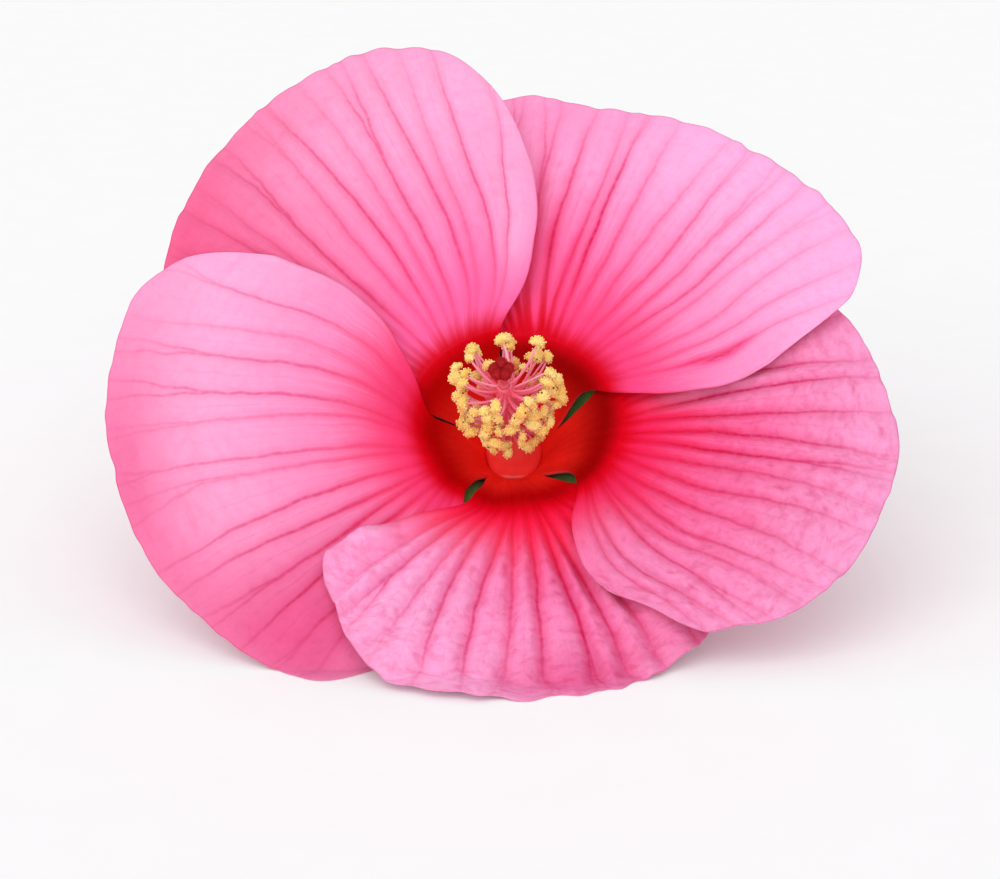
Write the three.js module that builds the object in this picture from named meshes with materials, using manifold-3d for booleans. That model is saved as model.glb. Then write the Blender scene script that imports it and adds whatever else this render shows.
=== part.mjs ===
// A large pink mallow hibiscus flower, picked with its short stalk and lying on a table.
// Five overlapping petals, the stamen column with the pistil inside it, the calyx,
// the bracts under the calyx, and the stalk. Millimetres, +Z up.
//
// The flower is drawn upright in its own frame: the origin is the bottom of the throat and
// +Z' runs out of the flower along the stamen column. The whole flower is then tipped back
// so that its two lower petals and the end of its stalk rest on the surface at z = 0.

import * as THREE from 'three';
import { mergeVertices } from 'three/addons/utils/BufferGeometryUtils.js';
import Module from 'manifold-3d';

const wasm = await Module();
wasm.setup();

// ---------------------------------------------------------------- driving dimensions

const FLOWER_TILT = 40; // degrees between the column and the vertical
const THROAT_HEIGHT = 20.3; // throat bottom above the table
const GAP = 0.3; // clearance between pieces that touch on the real flower

const SHORTEST_EDGE = 0.02; // smaller edges are merged where pieces are joined

const PETAL_THICKNESS = 0.8;
const CLAW_RADIUS = 6.8; // where every petal starts
const CLAW_HEIGHT = 6.5;
const BOWL_DEPTH = 16.7; // rise of the throat
const BOWL_CURVE = 13; // the throat rises this fast: the length of its exponential
const BOWL_SLOPE = 0.26; // slope of the open part of the flower
const BOWL_SAG = 0.0015; // the rims fall back by this share of the radius squared
const TWIST = { rise: 2.8, at: 36, from: 11, over: 30 }; // a petal climbs towards its free edge
const DOME = { fall: 3, at: 50, from: 30, over: 50 }; // both edges of a petal bend back
const LIFT = { from: 22, over: 70 }; // each petal's own rise of its rim
const ROLL = { width: 16, fades: 0.6 }; // the rim rolls back, less towards the free edge
const TABLE_BLEND = 0.6; // a petal meets the table over this height
const FREE_EDGE = { rise: 1.8, from: 4, over: 10 }; // the lowest petal lies on its neighbour

// Half-angles of a petal in degrees, at these distances from the column. Near the throat
// the claws are narrow and leave five windows between them.
const EDGE_RADII = [CLAW_RADIUS, 10, 15, 19, 24, 32, 45, 65, 110];
const CLAW_HALF_ANGLES = [34.4, 34, 30, 33.5];
const HIDDEN_HALF_ANGLES = [34.4, 34, 30, 33.5, 38, 45, 49, 48, 45];

// Rim radius of a petal from its hidden edge (-1) to its free edge (+1).
const RIM_STATIONS = [-1, -0.85, -0.6, -0.3, 0, 0.3, 0.6, 0.8, 0.92, 1];

// The petals in the order in which each one overlaps the next. azimuth is the midrib's
// direction, lift the rise of the rim, droop the rim's own roll back, and free the
// half-angles on the free side from the fifth edge radius on.
const PETALS = [
  {
    name: 'petal_top_left', azimuth: 136, lift: 4, droop: 1, free: [37, 48, 51, 48, 44],
    rim: [50, 74, 86, 93.5, 99.5, 103, 102, 94, 80.5, 62],
  },
  {
    name: 'petal_top_right', azimuth: 64, lift: 0, droop: 1, free: [42, 57, 60, 53, 49],
    rim: [52, 78, 90, 87.5, 89, 90, 91, 87.5, 78, 60],
  },
  {
    name: 'petal_right', azimuth: -8, lift: 1, droop: 1.5, free: [40, 53, 59, 52, 48],
    rim: [50, 70, 79, 84.5, 88.5, 88, 85, 78, 71, 56],
  },
  {
    name: 'petal_bottom', azimuth: -80, lift: 2, droop: 3, free: [26, 40, 49, 53, 48],
    rim: [48, 65, 72.5, 77.5, 81.5, 83, 74.5, 65.5, 61, 56.5], liesOnNeighbour: true,
  },
  {
    name: 'petal_left', azimuth: -152, lift: 3, droop: 2, free: [45, 59, 63, 60, 54],
    rim: [52, 79, 84, 87, 89.5, 91, 91.5, 89, 81, 67],
  },
];
const PETAL_COLUMNS = 24;
const PETAL_ROWS = 13;
const RIM_WAVE = { height: 0.7, from: 35, over: 50 }; // soft waves that all the petals share

// The calyx cup's floor carries the column and the pistil.
const CALYX_FLOOR = -0.3;
const CALYX_BOTTOM = -2.3;
const SEAT = CALYX_FLOOR + GAP;

// The stamen column, outside and inside, as [radius, height].
const COLUMN_OUTSIDE = [
  [6.1, SEAT], [6.1, 7.2], [5.9, 9.6], [5, 12], [4.2, 14.5], [3.4, 19.5], [2.8, 26], [2.2, 35], [1.9, 38],
];
const COLUMN_BORE = [[1.2, 38], [1.2, 14.2], [3.6, 10.5], [4.4, 5.7], [4.4, SEAT]];
const COLUMN_SIDES = 16;
const COLUMN_LEAN = 1.4; // sideways, at the stigma's height
const STIGMA_HEIGHT = 46;

const STAMENS = 64;
const STAMEN_FIRST = 17; // height of the lowest filament
const STAMEN_LAST = 37;
const FILAMENT_REACH = 9.2;
const LOWEST_SHORTER = 0.35; // the lowest filaments have less room in the throat
const FILAMENT_RADIUS = 0.45;
const FILAMENT_ROOT = 0.6; // depth of its root inside the column's wall
const ANTHER_LENGTH = 3;
const ANTHER_WIDTH = 2.2;

const OVARY_RADIUS = 4;
const OVARY_TOP = 10.7;
const STYLE_RADIUS = 0.8;
const STYLE_TOP = 41;
const BRANCHES = 5;
const BRANCH_RADIUS = 0.45;
const STIGMA_REACH = 2.2;
const STIGMA_RADIUS = 1.4;

const CALYX_LOBES = 5;
const CALYX_FIRST_LOBE = 28; // degrees; the lobes sit behind the windows
const CALYX_THICKNESS = 1;
const CALYX_COLUMNS = 50;
const CALYX_CUP_INSIDE = [[6.9, CALYX_FLOOR], [7.6, 1.3], [7.9, 5]];
const CALYX_CUP_OUTSIDE = [[5.2, CALYX_BOTTOM], [8.4, 0.3], [8.9, 4.6]];
const CALYX_SINUS = 12; // radius of the notch between two lobes
const CALYX_TIP = 26; // radius of a lobe's tip
const CALYX_OFFSET = [1.2, 1.9]; // distance behind the petals at the cup and at the tips

const RECEPTACLE_TOP = CALYX_BOTTOM - GAP;
const RECEPTACLE_BOTTOM = RECEPTACLE_TOP - 2;
const RECEPTACLE = [[3.4, RECEPTACLE_BOTTOM], [4.6, RECEPTACLE_TOP - 1], [4.6, RECEPTACLE_TOP]];
const BRACTS = 12;
const BRACT_PATH = [[3.6, -3.6], [7.6, -3.3], [11.5, -1.2], [14.8, 2.8], [17.8, 7.4], [20.8, 12]];
const BRACT_WIDTHS = [1.5, 1.9, 2.2, 2.1, 1.5, 0.5];
const BRACT_THICKNESS = 0.9;

const STALK_RADIUS = 2.1;
const STALK_START = RECEPTACLE_BOTTOM - GAP;
const STALK_BEND = 12; // length over which the stalk still follows the column's axis
const STALK_REACH = [4, 46]; // the cut end, sideways and behind the throat
const STALK_RINGS = 14;
const STALK_SIDES = 12;
const STALK_JOINT_AT = 0.55; // the small swelling, as a share of the stalk's length
const STALK_JOINT_SWELL = 0.35;

// ---------------------------------------------------------------- materials

const material = (color, roughness) => new THREE.MeshStandardMaterial({ color, roughness, metalness: 0 });
const PETAL_MATERIAL = material(0xf27ba6, 0.6);
const COLUMN_MATERIAL = material(0xe8b85a, 0.7);
const PISTIL_MATERIAL = material(0xa3122c, 0.8);
const CALYX_MATERIAL = material(0x4f7a34, 0.7);
const STALK_MATERIAL = material(0x5d8a3c, 0.6);

// ---------------------------------------------------------------- small helpers

const radians = THREE.MathUtils.degToRad;
const clamp01 = (t) => Math.min(Math.max(t, 0), 1);
const ease = (t) => clamp01(t) ** 2 * (3 - 2 * clamp01(t));

/** A smooth curve through hand-set knots, held level beyond both ends. */
function curveThrough(stations, values) {
  const last = stations.length - 1;
  const slope = (i) => {
    if (i === 0) return (values[1] - values[0]) / (stations[1] - stations[0]);
    if (i === last) return (values[last] - values[last - 1]) / (stations[last] - stations[last - 1]);
    const before = stations[i] - stations[i - 1];
    const after = stations[i + 1] - stations[i];
    const fall = ((values[i] - values[i - 1]) / before) * after;
    const rise = ((values[i + 1] - values[i]) / after) * before;
    return (fall + rise) / (before + after);
  };
  return (x) => {
    const at = Math.min(Math.max(x, stations[0]), stations[last]);
    let i = 0;
    while (i < last - 1 && at > stations[i + 1]) i += 1;
    const span = stations[i + 1] - stations[i];
    const t = (at - stations[i]) / span;
    const stay = (1 + 2 * t) * (1 - t) ** 2 * values[i] + t ** 2 * (3 - 2 * t) * values[i + 1];
    const swing = t * (1 - t) ** 2 * slope(i) - t ** 2 * (1 - t) * slope(i + 1);
    return stay + swing * span;
  };
}

/** The larger of two heights, rounded where they meet. */
function softMax(a, b, blend) {
  const overlap = Math.max(blend - Math.abs(a - b), 0) / blend;
  return Math.max(a, b) + (overlap ** 2 * blend) / 4;
}

function geometryFrom(points, triangles) {
  const geometry = new THREE.BufferGeometry();
  const positions = points.flatMap((p) => [p.x, p.y, p.z]);
  geometry.setAttribute('position', new THREE.Float32BufferAttribute(positions, 3));
  geometry.setIndex(triangles.flat());
  return geometry;
}

/** Two triangles for the quad a b c d, counter-clockwise from outside. */
const quad = (a, b, c, d) => [[a, b, c], [a, c, d]];

/** A closed sheet of even thickness round a surface(u, v), with u and v from 0 to 1. */
function sheet(surface, columns, rows, thickness) {
  const step = 1e-3;
  const faces = { front: [], back: [] };
  for (let i = 0; i <= columns; i += 1) {
    for (let j = 0; j <= rows; j += 1) {
      const u = i / columns;
      const v = j / rows;
      const middle = surface(u, v);
      const alongU = surface(Math.min(u + step, 1), v).sub(surface(Math.max(u - step, 0), v));
      const alongV = surface(u, Math.min(v + step, 1)).sub(surface(u, Math.max(v - step, 0)));
      const normal = alongU.cross(alongV).normalize().multiplyScalar(thickness / 2);
      faces.front.push(middle.clone().add(normal));
      faces.back.push(middle.clone().sub(normal));
    }
  }
  const front = (i, j) => i * (rows + 1) + j;
  const back = (i, j) => front(i, j) + faces.front.length;
  const triangles = [];
  for (let i = 0; i < columns; i += 1) {
    for (let j = 0; j < rows; j += 1) {
      triangles.push(...quad(front(i, j), front(i + 1, j), front(i + 1, j + 1), front(i, j + 1)));
      triangles.push([back(i, j), back(i + 1, j + 1), back(i + 1, j)]);
      triangles.push([back(i, j), back(i, j + 1), back(i + 1, j + 1)]);
    }
  }
  for (let i = 0; i < columns; i += 1) {
    triangles.push(...quad(back(i, 0), back(i + 1, 0), front(i + 1, 0), front(i, 0)));
    triangles.push(...quad(front(i, rows), front(i + 1, rows), back(i + 1, rows), back(i, rows)));
  }
  for (let j = 0; j < rows; j += 1) {
    triangles.push(...quad(front(0, j), front(0, j + 1), back(0, j + 1), back(0, j)));
    triangles.push(...quad(back(columns, j), back(columns, j + 1), front(columns, j + 1), front(columns, j)));
  }
  return geometryFrom([...faces.front, ...faces.back], triangles);
}

/** A closed solid through rings of points; each ring runs counter-clockwise seen from its end. */
function loft(rings) {
  const sides = rings[0].length;
  const points = rings.flat();
  const at = (ring, side) => ring * sides + (side % sides);
  const triangles = [];
  for (let ring = 0; ring < rings.length - 1; ring += 1) {
    for (let side = 0; side < sides; side += 1) {
      triangles.push(...quad(at(ring, side), at(ring, side + 1), at(ring + 1, side + 1), at(ring + 1, side)));
    }
  }
  const end = rings.length - 1;
  for (let side = 1; side < sides - 1; side += 1) {
    triangles.push([at(0, 0), at(0, side + 1), at(0, side)]);
    triangles.push([at(end, 0), at(end, side), at(end, side + 1)]);
  }
  return geometryFrom(points, triangles);
}

/** A ring of points round a centre, in the plane of two directions. */
function ringAround(centre, across, up, width, height, sides) {
  return Array.from({ length: sides }, (_, side) => {
    const angle = (side / sides) * 2 * Math.PI;
    const point = centre.clone().addScaledVector(across, width * Math.cos(angle));
    return point.addScaledVector(up, height * Math.sin(angle));
  });
}

/** A rod along a curve, its radius a function of the share of its length. */
function rod(curve, radius, rings, sides, level) {
  const sections = [];
  for (let ring = 0; ring <= rings; ring += 1) {
    const share = ring / rings;
    const tangent = curve.getTangentAt(share);
    const across = new THREE.Vector3().crossVectors(tangent, level).normalize();
    const up = new THREE.Vector3().crossVectors(across, tangent).normalize();
    const width = radius(share);
    sections.push(ringAround(curve.getPointAt(share), up, across, width, width, sides));
  }
  return loft(sections);
}

const polar = (radius, azimuth, height) =>
  new THREE.Vector3(radius * Math.cos(azimuth), radius * Math.sin(azimuth), height);

/** The slight sideways lean that the column and the pistil share. */
function leaned(point) {
  const share = Math.max(point.z, 0) / STIGMA_HEIGHT;
  return new THREE.Vector3(point.x - COLUMN_LEAN * share ** 2, point.y, point.z);
}

// ---------------------------------------------------------------- solids and joins

function toManifold(geometry) {
  const vertProperties = new Float32Array(geometry.getAttribute('position').array);
  const triVerts = new Uint32Array(geometry.getIndex().array);
  return new wasm.Manifold(new wasm.Mesh({ numProp: 3, vertProperties, triVerts }));
}

/** One closed solid from several that run into each other. */
function joined(geometries) {
  const solid = geometries.map(toManifold).reduce((sum, next) => sum.add(next));
  const mesh = solid.simplify(SHORTEST_EDGE).getMesh();
  const geometry = new THREE.BufferGeometry();
  geometry.setAttribute('position', new THREE.Float32BufferAttribute(mesh.vertProperties, 3));
  geometry.setIndex([...mesh.triVerts]);
  return geometry;
}

function piece(name, geometry, pieceMaterial) {
  const mesh = new THREE.Mesh(geometry, pieceMaterial);
  mesh.name = name;
  return mesh;
}

// ---------------------------------------------------------------- petals

const tilt = radians(FLOWER_TILT);
const WORLD_UP = new THREE.Vector3(0, Math.sin(tilt), Math.cos(tilt)); // in the flower's frame

/** Height of the open bowl that every petal follows. */
function bowl(radius) {
  const out = radius - CLAW_RADIUS;
  const throat = BOWL_DEPTH * (1 - Math.exp(-out / BOWL_CURVE));
  return CLAW_HEIGHT + throat + BOWL_SLOPE * out - BOWL_SAG * out ** 2;
}

/** Soft waves of the open flower, shared by all the petals so that they nest. */
function wave(radius, azimuth) {
  const swell = Math.sin(3 * azimuth + 0.6) + 0.7 * Math.sin(8 * azimuth - 1.1);
  return RIM_WAVE.height * ease((radius - RIM_WAVE.from) / RIM_WAVE.over) * swell;
}

/** Moves a point that would be under the table up onto it. */
function raisedToTable(point, rise) {
  const level = PETAL_THICKNESS / 2 - THROAT_HEIGHT + rise;
  const height = point.dot(WORLD_UP);
  return point.addScaledVector(WORLD_UP, softMax(height, level, TABLE_BLEND) - height);
}

function petalSurface(petal) {
  const freeAngle = curveThrough(EDGE_RADII, [...CLAW_HALF_ANGLES, ...petal.free]);
  const hiddenAngle = curveThrough(EDGE_RADII, HIDDEN_HALF_ANGLES);
  const rimRadius = curveThrough(RIM_STATIONS, petal.rim);
  return (u, v) => {
    const side = 1 - 2 * u; // +1 on the free edge, so that the front face looks out
    const rim = rimRadius(side);
    const radius = CLAW_RADIUS + v * (rim - CLAW_RADIUS);
    const turn = side * (side > 0 ? freeAngle(radius) : hiddenAngle(radius));
    const azimuth = radians(petal.azimuth - turn);
    const climb = TWIST.rise * ease((radius - TWIST.from) / TWIST.over) * (turn / TWIST.at);
    const bend = DOME.fall * ease((radius - DOME.from) / DOME.over) * (turn / DOME.at) ** 2;
    const atRim = ease((radius - rim) / ROLL.width + 1);
    const roll = petal.droop * atRim * (1 - ease(side / ROLL.fades));
    const rise = petal.lift * ease((radius - LIFT.from) / LIFT.over);
    const height = bowl(radius) + rise + climb - bend - roll + wave(radius, azimuth);
    const onFreeSide = ease((turn - FREE_EDGE.from) / FREE_EDGE.over);
    const onNeighbour = petal.liesOnNeighbour ? FREE_EDGE.rise * onFreeSide : 0;
    return raisedToTable(polar(radius, azimuth, height), onNeighbour);
  };
}

function petal(shape) {
  const geometry = sheet(petalSurface(shape), PETAL_COLUMNS, PETAL_ROWS, PETAL_THICKNESS);
  return piece(shape.name, geometry, PETAL_MATERIAL);
}

// ---------------------------------------------------------------- column and stamens

const columnRadius = curveThrough(
  COLUMN_OUTSIDE.map(([, height]) => height),
  COLUMN_OUTSIDE.map(([radius]) => radius),
);

/** A ring-shaped solid: the profile is closed and turned round the axis. */
function turned(profile, sides) {
  const rings = profile.map(([radius, height]) =>
    Array.from({ length: sides }, (_, side) => polar(radius, (side / sides) * 2 * Math.PI, height)));
  const points = rings.flat().map(leaned);
  const at = (ring, side) => (ring % rings.length) * sides + (side % sides);
  const triangles = [];
  for (let ring = 0; ring < rings.length; ring += 1) {
    for (let side = 0; side < sides; side += 1) {
      triangles.push(...quad(at(ring, side), at(ring, side + 1), at(ring + 1, side + 1), at(ring + 1, side)));
    }
  }
  return geometryFrom(points, triangles);
}

/** One stamen: a filament out of the column's wall and an anther on its tip. */
function stamen(index) {
  const share = (index + 0.5) / STAMENS;
  const goldenTurn = Math.PI * (3 - Math.sqrt(5));
  const azimuth = index * goldenTurn;
  const height = STAMEN_FIRST + (STAMEN_LAST - STAMEN_FIRST) * share;
  const crowded = 1 - LOWEST_SHORTER * (1 - ease(share / 0.3));
  const reach = FILAMENT_REACH * crowded * (1 + 0.14 * Math.sin(index * 2.3));
  const lift = reach * (0.15 + 0.35 * share + 0.12 * Math.sin(index * 1.7));
  const wall = columnRadius(height);
  const root = leaned(polar(wall - FILAMENT_ROOT, azimuth, height));
  const tip = leaned(polar(wall + reach * (1 - 0.15 * share), azimuth, height + lift));
  const filament = rod(new THREE.LineCurve3(root, tip), () => FILAMENT_RADIUS, 1, 3, WORLD_UP);
  const anther = new THREE.OctahedronGeometry(ANTHER_WIDTH / 2);
  anther.scale(1, 1, ANTHER_LENGTH / ANTHER_WIDTH);
  anther.rotateX(index * 1.3);
  anther.rotateZ(index * 2.1);
  anther.translate(tip.x, tip.y, tip.z);
  return [filament, weld(anther)];
}

/** The same surface with one vertex at each corner. */
function weld(geometry) {
  geometry.deleteAttribute('normal');
  geometry.deleteAttribute('uv');
  return mergeVertices(geometry);
}

function stamenColumn() {
  const tube = turned([...COLUMN_OUTSIDE, ...COLUMN_BORE], COLUMN_SIDES);
  const stamens = Array.from({ length: STAMENS }, (_, index) => stamen(index)).flat();
  return piece('stamen_column', joined([tube, ...stamens]), COLUMN_MATERIAL);
}

// ---------------------------------------------------------------- pistil

function pistil() {
  const sides = 8;
  const middle = (SEAT + OVARY_TOP) / 2;
  const half = (OVARY_TOP - SEAT) / 2;
  const profile = [[OVARY_RADIUS * 0.6, SEAT]];
  for (const share of [-0.6, -0.1, 0.4, 0.8]) {
    profile.push([OVARY_RADIUS * Math.sqrt(1 - share ** 2), middle + half * share]);
  }
  profile.push([STYLE_RADIUS, OVARY_TOP + 0.6]);
  for (const height of [20, 29, 36, STYLE_TOP]) profile.push([STYLE_RADIUS, height]);
  const rings = profile.map(([radius, height]) =>
    ringAround(leaned(new THREE.Vector3(0, 0, height)), new THREE.Vector3(1, 0, 0),
      new THREE.Vector3(0, 1, 0), radius, radius, sides));
  const solids = [loft(rings)];
  for (let branch = 0; branch < BRANCHES; branch += 1) {
    const azimuth = (branch / BRANCHES) * 2 * Math.PI + 0.3;
    const root = leaned(new THREE.Vector3(0, 0, STYLE_TOP - 1));
    const tip = leaned(polar(STIGMA_REACH, azimuth, STIGMA_HEIGHT - 1));
    solids.push(rod(new THREE.LineCurve3(root, tip), () => BRANCH_RADIUS, 1, 4, WORLD_UP));
    const stigma = new THREE.IcosahedronGeometry(STIGMA_RADIUS);
    stigma.scale(1, 1, 0.75);
    stigma.translate(tip.x, tip.y, tip.z);
    solids.push(weld(stigma));
  }
  return piece('pistil', joined(solids), PISTIL_MATERIAL);
}

// ---------------------------------------------------------------- calyx and bracts

/** A point of the calyx's lobes, at a distance behind the petals' bowl. */
function behindBowl(radius, azimuth, distance) {
  const step = 0.01;
  const slope = Math.atan((bowl(radius + step) - bowl(radius - step)) / (2 * step));
  return polar(radius + distance * Math.sin(slope), azimuth, bowl(radius) - distance * Math.cos(slope));
}

/** Radius that the calyx reaches, from the notch between two lobes to a lobe's tip. */
function calyxReach(azimuth) {
  const lobe = 360 / CALYX_LOBES;
  const offCentre = ((azimuth - CALYX_FIRST_LOBE) % lobe + lobe * 1.5) % lobe - lobe / 2;
  const share = 1 - Math.abs(offCentre) / (lobe / 2);
  return CALYX_SINUS + (CALYX_TIP - CALYX_SINUS) * share ** 0.8;
}

function calyx() {
  const lobeRows = [0.25, 0.5, 0.75, 1];
  const near = CLAW_RADIUS + 0.6;
  const faces = [[], []];
  for (let column = 0; column < CALYX_COLUMNS; column += 1) {
    const degrees = CALYX_FIRST_LOBE + (column / CALYX_COLUMNS) * 360;
    const azimuth = radians(degrees);
    faces.forEach((face, back) => {
      const cup = back ? CALYX_CUP_OUTSIDE : CALYX_CUP_INSIDE;
      const rows = cup.map(([radius, height]) => polar(radius, azimuth, height));
      for (const row of lobeRows) {
        const radius = near + row * (calyxReach(degrees) - near);
        const [atCup, atTip] = CALYX_OFFSET;
        const offset = atCup + (atTip - atCup) * ease((radius - near) / 12);
        rows.push(behindBowl(radius, azimuth, offset + back * CALYX_THICKNESS));
      }
      face.push(rows);
    });
  }
  const [inside, outside] = faces;
  const rowCount = inside[0].length;
  const points = [...inside.flat(), ...outside.flat()];
  const floor = points.push(new THREE.Vector3(0, 0, CALYX_FLOOR)) - 1;
  const bottom = points.push(new THREE.Vector3(0, 0, CALYX_BOTTOM)) - 1;
  const inner = (column, row) => (column % CALYX_COLUMNS) * rowCount + row;
  const outer = (column, row) => inner(column, row) + CALYX_COLUMNS * rowCount;
  const triangles = [];
  for (let column = 0; column < CALYX_COLUMNS; column += 1) {
    const next = column + 1;
    triangles.push([floor, inner(column, 0), inner(next, 0)]);
    triangles.push([bottom, outer(next, 0), outer(column, 0)]);
    for (let row = 0; row < rowCount - 1; row += 1) {
      const above = row + 1;
      triangles.push(...quad(inner(column, row), inner(column, above), inner(next, above), inner(next, row)));
      triangles.push(...quad(outer(next, row), outer(next, above), outer(column, above), outer(column, row)));
    }
    const top = rowCount - 1;
    triangles.push(...quad(inner(column, top), outer(column, top), outer(next, top), inner(next, top)));
  }
  return piece('calyx', geometryFrom(points, triangles), CALYX_MATERIAL);
}

/** One narrow bract, a four-sided blade that follows the outside of the calyx. */
function bract(azimuth) {
  const across = polar(1, azimuth + Math.PI / 2, 0);
  const knots = BRACT_PATH.map(([radius, height]) => polar(radius, azimuth, height));
  const path = new THREE.CatmullRomCurve3(knots);
  const stations = BRACT_PATH.map((_, i) => i / (BRACT_PATH.length - 1));
  const width = curveThrough(stations, BRACT_WIDTHS);
  const rings = stations.map((share) => {
    const inward = new THREE.Vector3().crossVectors(path.getTangent(share), across).normalize();
    const thickness = Math.min(BRACT_THICKNESS, width(share));
    return ringAround(path.getPoint(share), across, inward, width(share) / 2, thickness / 2, 4);
  });
  return loft(rings);
}

function bracts() {
  const sides = 16;
  const x = new THREE.Vector3(1, 0, 0);
  const y = new THREE.Vector3(0, 1, 0);
  const rings = RECEPTACLE.map(([radius, height]) =>
    ringAround(new THREE.Vector3(0, 0, height), x, y, radius, radius, sides));
  const solids = [loft(rings)];
  for (let i = 0; i < BRACTS; i += 1) solids.push(bract((i / BRACTS) * 2 * Math.PI + 0.15));
  return piece('bracts', joined(solids), CALYX_MATERIAL);
}

// ---------------------------------------------------------------- stalk

function stalk() {
  const start = new THREE.Vector3(0, 0, STALK_START);
  const bend = new THREE.Vector3(0, 0, STALK_START - STALK_BEND);
  const toWorld = new THREE.Quaternion().setFromAxisAngle(new THREE.Vector3(1, 0, 0), tilt);
  const toFlower = toWorld.clone().invert();
  const axisHeight = STALK_RADIUS - THROAT_HEIGHT;
  const [sideways, behind] = STALK_REACH;
  const end = new THREE.Vector3(sideways, behind, axisHeight).applyQuaternion(toFlower);
  const flat = new THREE.Vector3(sideways * 0.3, behind * 0.6, axisHeight).applyQuaternion(toFlower);
  const path = new THREE.CubicBezierCurve3(start, bend, flat, end);
  const swelling = (share) => STALK_JOINT_SWELL * Math.exp(-(((share - STALK_JOINT_AT) / 0.06) ** 2));
  const radius = (share) => STALK_RADIUS + swelling(share) - 0.25 * Math.sin(Math.PI * share);
  return piece('stalk', rod(path, radius, STALK_RINGS, STALK_SIDES, WORLD_UP), STALK_MATERIAL);
}

// ---------------------------------------------------------------- the flower on the table

const flower = new THREE.Group();
flower.add(...PETALS.map(petal), stamenColumn(), pistil(), calyx(), bracts(), stalk());
flower.rotation.x = tilt;
flower.position.z = THROAT_HEIGHT;

const part = new THREE.Group();
part.add(flower);
part.updateMatrixWorld(true);
const bounds = new THREE.Box3().setFromObject(part, true);
const middle = bounds.getCenter(new THREE.Vector3());
flower.position.x -= middle.x;
flower.position.y -= middle.y;

export default part;
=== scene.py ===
"""A large pink mallow hibiscus flower, picked with its short stalk and laid on a pale table.

Every piece is worked out in the flower's own frame, in millimetres: the origin is the bottom of
the throat, and z runs out of the flower along the stamen column. FlowerFrame then tips the whole
flower back onto the table, in metres. The petals repeat the solid petals' surface and add what a
living petal has: forking veins that lie in grooves, panels that swell between them, cross
wrinkles, ruffled rims and the ribs of the claws.
"""

import logging
import math
from dataclasses import dataclass, field
from enum import Enum

import bpy
import numpy as np
from mathutils import Matrix, Vector

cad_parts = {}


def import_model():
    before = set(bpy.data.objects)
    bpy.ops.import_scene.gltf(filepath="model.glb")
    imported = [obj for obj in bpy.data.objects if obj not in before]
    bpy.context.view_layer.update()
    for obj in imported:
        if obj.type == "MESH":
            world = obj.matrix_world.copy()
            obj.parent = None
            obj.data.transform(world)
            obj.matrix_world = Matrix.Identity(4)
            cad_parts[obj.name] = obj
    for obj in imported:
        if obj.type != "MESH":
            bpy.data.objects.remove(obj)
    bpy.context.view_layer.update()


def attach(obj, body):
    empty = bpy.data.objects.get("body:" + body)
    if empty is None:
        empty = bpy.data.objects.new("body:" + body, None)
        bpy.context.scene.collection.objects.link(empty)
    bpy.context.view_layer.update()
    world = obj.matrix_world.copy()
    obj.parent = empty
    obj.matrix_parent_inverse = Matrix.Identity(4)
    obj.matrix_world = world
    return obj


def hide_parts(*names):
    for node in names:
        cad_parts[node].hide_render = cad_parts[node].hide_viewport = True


Array = np.ndarray
Socket = bpy.types.NodeSocket
LOG = logging.getLogger("hibiscus")
MM = 0.001
FULL_TURN = 2 * math.pi
GOLDEN_TURN = math.pi * (3 - math.sqrt(5))  # spreads points evenly along a spiral
FRAME_WIDTH, FRAME_HEIGHT = 1000, 879  # of the photograph, pixels


# ------------------------------------------------------------------ numbers and noise


def ease(t: Array) -> Array:
    """An S-curve from 0 to 1, level at both ends."""
    t = np.clip(t, 0.0, 1.0)
    return t * t * (3 - 2 * t)


def between(x: Array, start: Array, end: Array) -> Array:
    """The S-curve from 0 where x is at start to 1 where it is at end; start may be the larger."""
    return ease((x - start) / (end - start))


def leap(t: Array) -> Array:
    """A rise from 0 to 1 that starts at once and levels out, as a fork of two veins does."""
    return 1 - (1 - np.clip(t, 0.0, 1.0)) ** 2


def hump(x: Array, middle: float, wide: Array) -> Array:
    """A bell-shaped hump, 1 high at its middle and 0.37 high at its half-width."""
    return np.exp(-(((x - middle) / wide) ** 2))


def curve_through(stations: tuple, values: tuple, x: Array) -> Array:
    """A smooth curve through given knots, held level beyond both ends.

    Each span is a cubic whose end slopes are the weighted means of the neighbouring spans.

    Args:
        stations: Where the knots are, rising.
        values: The curve's height at each knot.
        x: Where to read the curve.

    Returns:
        The curve's heights at x.
    """
    xs, ys = np.asarray(stations, float), np.asarray(values, float)
    slopes = np.gradient(ys, xs)
    at = np.clip(x, xs[0], xs[-1])
    i = np.clip(np.searchsorted(xs, at, side="right") - 1, 0, len(xs) - 2)
    span = xs[i + 1] - xs[i]
    t = (at - xs[i]) / span
    stay = (1 + 2 * t) * (1 - t) ** 2 * ys[i] + t * t * (3 - 2 * t) * ys[i + 1]
    return stay + span * (t * (1 - t) ** 2 * slopes[i] - t * t * (1 - t) * slopes[i + 1])


def soft_max(a: Array, b: Array, blend: float) -> Array:
    """The larger of two heights, rounded where they meet."""
    overlap = np.maximum(blend - np.abs(a - b), 0) / blend
    return np.maximum(a, b) + overlap * overlap * blend / 4


def hashed(x: Array, y: Array, seed: float) -> Array:
    """A value from -1 to 1 that looks random: the far decimals of a sine."""
    mixed = np.sin(x * 127.1 + y * 311.7 + seed * 74.7) * 43758.5453
    return 2 * (mixed - np.floor(mixed)) - 1


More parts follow.
